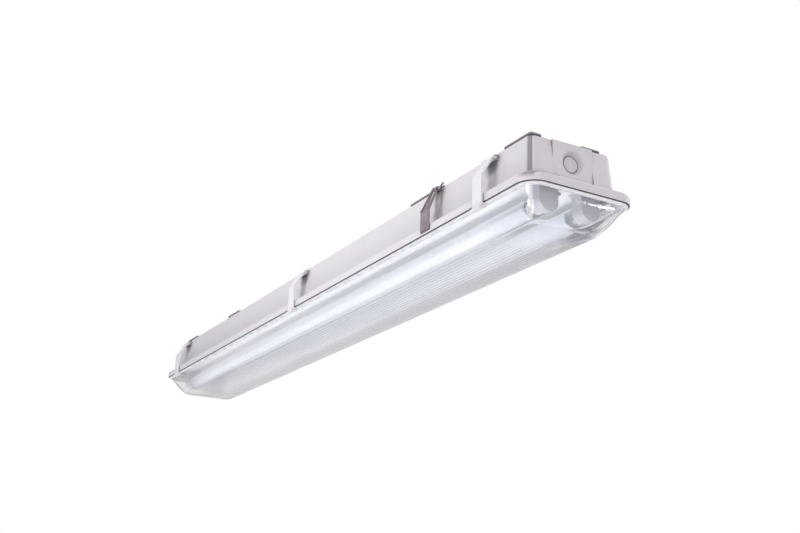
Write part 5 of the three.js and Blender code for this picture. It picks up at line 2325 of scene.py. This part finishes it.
@dataclass
class Lamps(SubAssembly):
    """Two tubular lamps with metal caps and pins.

    Each profile below is a row of steps out from a radius and along from an end.
    """

    half: float = 599.7
    radius: float = 12.7
    glass: float = 0.9
    glass_end: float = 1.1
    neck_in: float = 0.5
    neck_run: Pair = (11.0, 15.5)
    cap_radius: float = 13.5
    cap_length: float = 14.0
    cap_sheet: float = 0.5
    cap_fillet: float = 0.6
    cap_bead: tuple[Pair, ...] = ((-0.25, 0.0), (0.0, 0.3), (0.0, 1.2), (-0.25, 1.7))
    cap_face: tuple[Pair, ...] = ((-0.25, -2.4), (-0.45, -1.4), (-1.1, -0.5), (-2.0, -0.1),
                                  (-2.4, -0.1), (-2.8, -0.35), (-3.4, -0.35), (-3.6, 0.0))
    pin: float = 1.2
    pin_length: float = 7.0
    pin_reach: float = 6.35
    pin_collar: tuple[Pair, ...] = ((0.5, 0.35), (0.0, 0.6))
    pin_tip: tuple[Pair, ...] = ((1.0, 0.8), (0.8, 0.3), (0.4, 0.0))

    def tube(self) -> Piece:
        """Makes the glass tube about its own axis, necked in under the caps.

        Returns:
            The tube.
        """
        end = self.half - self.glass_end
        neck = self.radius - self.neck_in
        start, full = self.neck_run
        outside = [(neck, -end), (neck, -end + start), (self.radius, -end + full),
                   (self.radius, end - full), (neck, end - start), (neck, end)]
        inside = [(radius - self.glass, run) for radius, run in reversed(outside)]
        tube = turned(outside + inside, Axis.X, sides=72)
        shade(tube)
        return tube

    def cap(self) -> Piece:
        """Makes a cap from the middle of its outer face, with a rolled edge and two pins.

        Returns:
            The cap.
        """
        outer, length, sheet = self.cap_radius, self.cap_length, self.cap_sheet
        inner = self.radius + self.shell.gap
        profile = [(0.0, -sheet), (inner - self.cap_fillet, -sheet),
                   (inner, -sheet - self.cap_fillet), (inner, -length),
                   *((outer + out, -length + run) for out, run in self.cap_bead),
                   *((outer + out, run) for out, run in self.cap_face), (0.0, 0.0)]
        cap = turned(profile, Axis.X, sides=64)
        collar = self.pin + self.pin_collar[0][0]
        pin = [(0.0, -sheet / 2), (collar, -sheet / 2),
               *((self.pin + out, run) for out, run in self.pin_collar),
               *((self.pin * share, self.pin_length - drop) for share, drop in self.pin_tip),
               (0.0, self.pin_length)]
        work(cap, [turned(pin, Axis.X, (y, 0.0), sides=20)
                   for y in (-self.pin_reach, self.pin_reach)], Work.JOIN)
        shade(cap, angle=35.0)
        return cap

    def build(self) -> None:
        """Builds both lamps."""
        tube = self.tube()
        cap = self.cap()
        axis, reach = self.shell.lamp_axis, self.shell.lamp_reach
        for row, y in ((Side.FRONT, -reach), (Side.REAR, reach)):
            body = f"{row.value}_lamp"
            self.fitter.set_out(tube, f"glass_tube_{row.value}", (0.0, y, axis), False,
                                "lamp_glass", body, f"lamp_tube_{row.value}")
            for end in (Side.NEAR, Side.FAR):
                name = f"{end.value}_{row.value}"
                self.fitter.set_out(cap, f"tube_cap_{name}",
                                    (self.half, -y if end.turned else y, axis), end.turned, "cap",
                                    body, f"lamp_cap_{name}")
        discard(tube, cap)


@dataclass
class ControlGear:
    """The nodes above the tray that keep their CAD shape: ballast, block, nuts and leads."""

    finishes: Finishes
    slots: dict[str, str] = field(default_factory=lambda: {
        "ballast": "gear_case", "ballast_nut_far": "zinc", "ballast_nut_near": "zinc",
        "earth_nut": "brass", "terminal_block": "block", "lead_near_front": "lead",
        "lead_near_rear": "lead", "lead_far_front": "lead", "lead_far_rear": "lead",
        "lead_supply": "lead",
    })

    def dress(self, nodes: dict[str, Piece]) -> None:
        """Gives each carried-over node its finish.

        Args:
            nodes: The frame's objects by name.
        """
        for name, slot in self.slots.items():
            for place in nodes[name].material_slots:
                place.material = self.finishes.of(slot)
            log.info("%s keeps its shape, %s finish", name, slot)


# The studio


@dataclass
class PhotoCamera:
    """The camera that stands where the photograph was taken."""

    place: Triple = (1580.56, -765.60, -566.89)
    ahead: Triple = (-0.82784558, 0.46223216, 0.31782562)
    right: Triple = (0.49577366, 0.86796693, 0.02901531)
    lens: float = 49.27
    sensor: float = 36.0
    sight: float = 100.0

    def stand(self) -> None:
        """Makes the camera and gives it to the scene."""
        data = bpy.data.cameras.new("photo_camera")
        data.lens = self.lens
        data.sensor_width = self.sensor
        data.clip_end = self.sight
        camera = bpy.data.objects.new("photo_camera", data)
        bpy.context.scene.collection.objects.link(camera)
        ahead = Vector(self.ahead).normalized()
        right = (Vector(self.right) - ahead * ahead.dot(Vector(self.right))).normalized()
        up = right.cross(ahead)
        turn = Matrix((right, up, -ahead)).transposed().to_4x4()
        camera.matrix_world = Matrix.Translation(Vector(self.place) * MM) @ turn
        bpy.context.scene.camera = camera


@dataclass(frozen=True)
class SoftBox:
    """One soft studio light."""

    name: str
    place: Triple
    width: float
    height: float
    power: float
    colour: Colour = WHITE
    target: Triple = (0.0, 0.0, -0.05)
    spread: float = 180.0

    def hang(self) -> None:
        """Hangs the light so that it faces its target."""
        data = bpy.data.lights.new(self.name, "AREA")
        data.shape = "RECTANGLE"
        data.size = self.width
        data.size_y = self.height
        data.energy = self.power
        data.color = self.colour
        data.spread = math.radians(self.spread)
        light = bpy.data.objects.new(self.name, data)
        light.visible_camera = False
        bpy.context.scene.collection.objects.link(light)
        light.location = self.place
        ahead = Vector(self.target) - Vector(self.place)
        light.rotation_mode = "QUATERNION"
        light.rotation_quaternion = ahead.to_track_quat("-Z", "Y")


@dataclass
class Studio:
    """Soft lights, a white background and a pale floor well below the hanging fixture."""

    floor_height: float = -3.1
    floor_half: float = 9.0
    fill: Colour = (0.93, 0.93, 1.0)
    fill_strength: float = 0.52
    floor_colour: Colour = (0.9, 0.9, 0.905)
    floor_stain: float = 0.985
    floor_cloud: Grain = Grain(900.0, 2.0)
    floor_roughness: float = 0.9
    lights: tuple[SoftBox, ...] = (
        SoftBox("key_light", (0.22, -1.5, 0.3), 0.7, 0.7, 1.3, (1.0, 0.995, 0.985),
                (0.22, 0.0, -0.03), 70.0),
        SoftBox("end_fill", (2.8, -0.9, 1.0), 0.6, 0.6, 8.0, (1.0, 0.91, 0.93)),
        SoftBox("low_end_fill", (2.5, -0.4, -0.9), 0.8, 0.8, 4.6, (1.0, 0.93, 0.95)),
        SoftBox("rear_fill", (0.6, 3.0, 1.7), 2.0, 1.6, 24.0),
        SoftBox("top_fill", (0.0, 0.0, 3.0), 2.4, 1.2, 24.0),
        SoftBox("under_fill", (0.2, -1.1, -2.45), 2.0, 1.0, 24.0),
        SoftBox("edge_glint", (0.3, -1.15, -1.75), 0.3, 0.3, 3.0),
        SoftBox("end_glint", (2.05, 1.55, -1.37), 0.07, 0.4, 1.3),
    )

    def world(self) -> None:
        """Makes a world that shows white and lights softly."""
        world = bpy.data.worlds.new("studio")
        world.use_nodes = True
        tree = world.node_tree
        tree.nodes.clear()
        output = tree.nodes.new("ShaderNodeOutputWorld")
        soft = tree.nodes.new("ShaderNodeBackground")
        soft.inputs["Color"].default_value = (*self.fill, 1.0)
        soft.inputs["Strength"].default_value = self.fill_strength
        white = tree.nodes.new("ShaderNodeBackground")
        white.inputs["Color"].default_value = (*WHITE, 1.0)
        mix = tree.nodes.new("ShaderNodeMixShader")
        tree.links.new(shown_rays(tree), mix.inputs["Fac"])
        tree.links.new(soft.outputs["Background"], mix.inputs[1])
        tree.links.new(white.outputs["Background"], mix.inputs[2])
        tree.links.new(mix.outputs["Shader"], output.inputs["Surface"])
        bpy.context.scene.world = world

    def floor(self) -> None:
        """Lays the pale floor."""
        half = self.floor_half
        ends = [(-half, -half), (half, -half), (half, half), (-half, half)]
        data = bpy.data.meshes.new("studio_floor")
        data.from_pydata([(x, y, self.floor_height) for x, y in ends], [], [[0, 1, 2, 3]])
        floor = bpy.data.objects.new("studio_floor", data)
        bpy.context.scene.collection.objects.link(floor)
        sheet = FinishSheet("floor_paint")
        stain = tuple(value * self.floor_stain for value in self.floor_colour)
        cloud = sheet.noise(self.floor_cloud)
        sheet.to(sheet.ramp(cloud, (0.3, 0.7), stain, self.floor_colour), "Base Color")
        sheet.set(roughness=self.floor_roughness)
        data.materials.append(sheet.material)

    def set_up(self) -> None:
        """Sets up the world, the floor and the lights."""
        self.world()
        self.floor()
        for light in self.lights:
            light.hang()
        bpy.context.scene.view_settings.view_transform = "Standard"


def shown_rays(tree: bpy.types.NodeTree) -> Socket:
    """Tells the rays that show the surroundings from those that only light.

    Args:
        tree: The material's or the world's nodes.

    Returns:
        1 for what the camera sees, straight or in metal and glass, and 0 for the rest.
    """
    path = tree.nodes.new("ShaderNodeLightPath")
    shown = path.outputs["Is Camera Ray"]
    for other in ("Is Glossy Ray", "Is Transmission Ray"):
        either = tree.nodes.new("ShaderNodeMath")
        either.operation = "MAXIMUM"
        tree.links.new(shown, either.inputs[0])
        tree.links.new(path.outputs[other], either.inputs[1])
        shown = either.outputs["Value"]
    return shown


def main() -> None:
    """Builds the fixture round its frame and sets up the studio."""
    logging.basicConfig(level=logging.INFO, format="%(message)s", stream=sys.stdout)
    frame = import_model()
    PhotoCamera().stand()
    finishes = Finishes()
    shared = Shell(), Fitter(finishes)
    lens = Lens(*shared)
    tray = GearTray(*shared)
    for assembly in (Housing(*shared), BackPads(*shared), Gasket(*shared), lens,
                     Latches(*shared, lens), HangerClips(*shared), tray,
                     Lampholders(*shared, tray.face), Lamps(*shared)):
        assembly.build()
    ControlGear(finishes).dress(frame["nodes"])
    Studio().set_up()


if __name__ == "__main__":
    main()
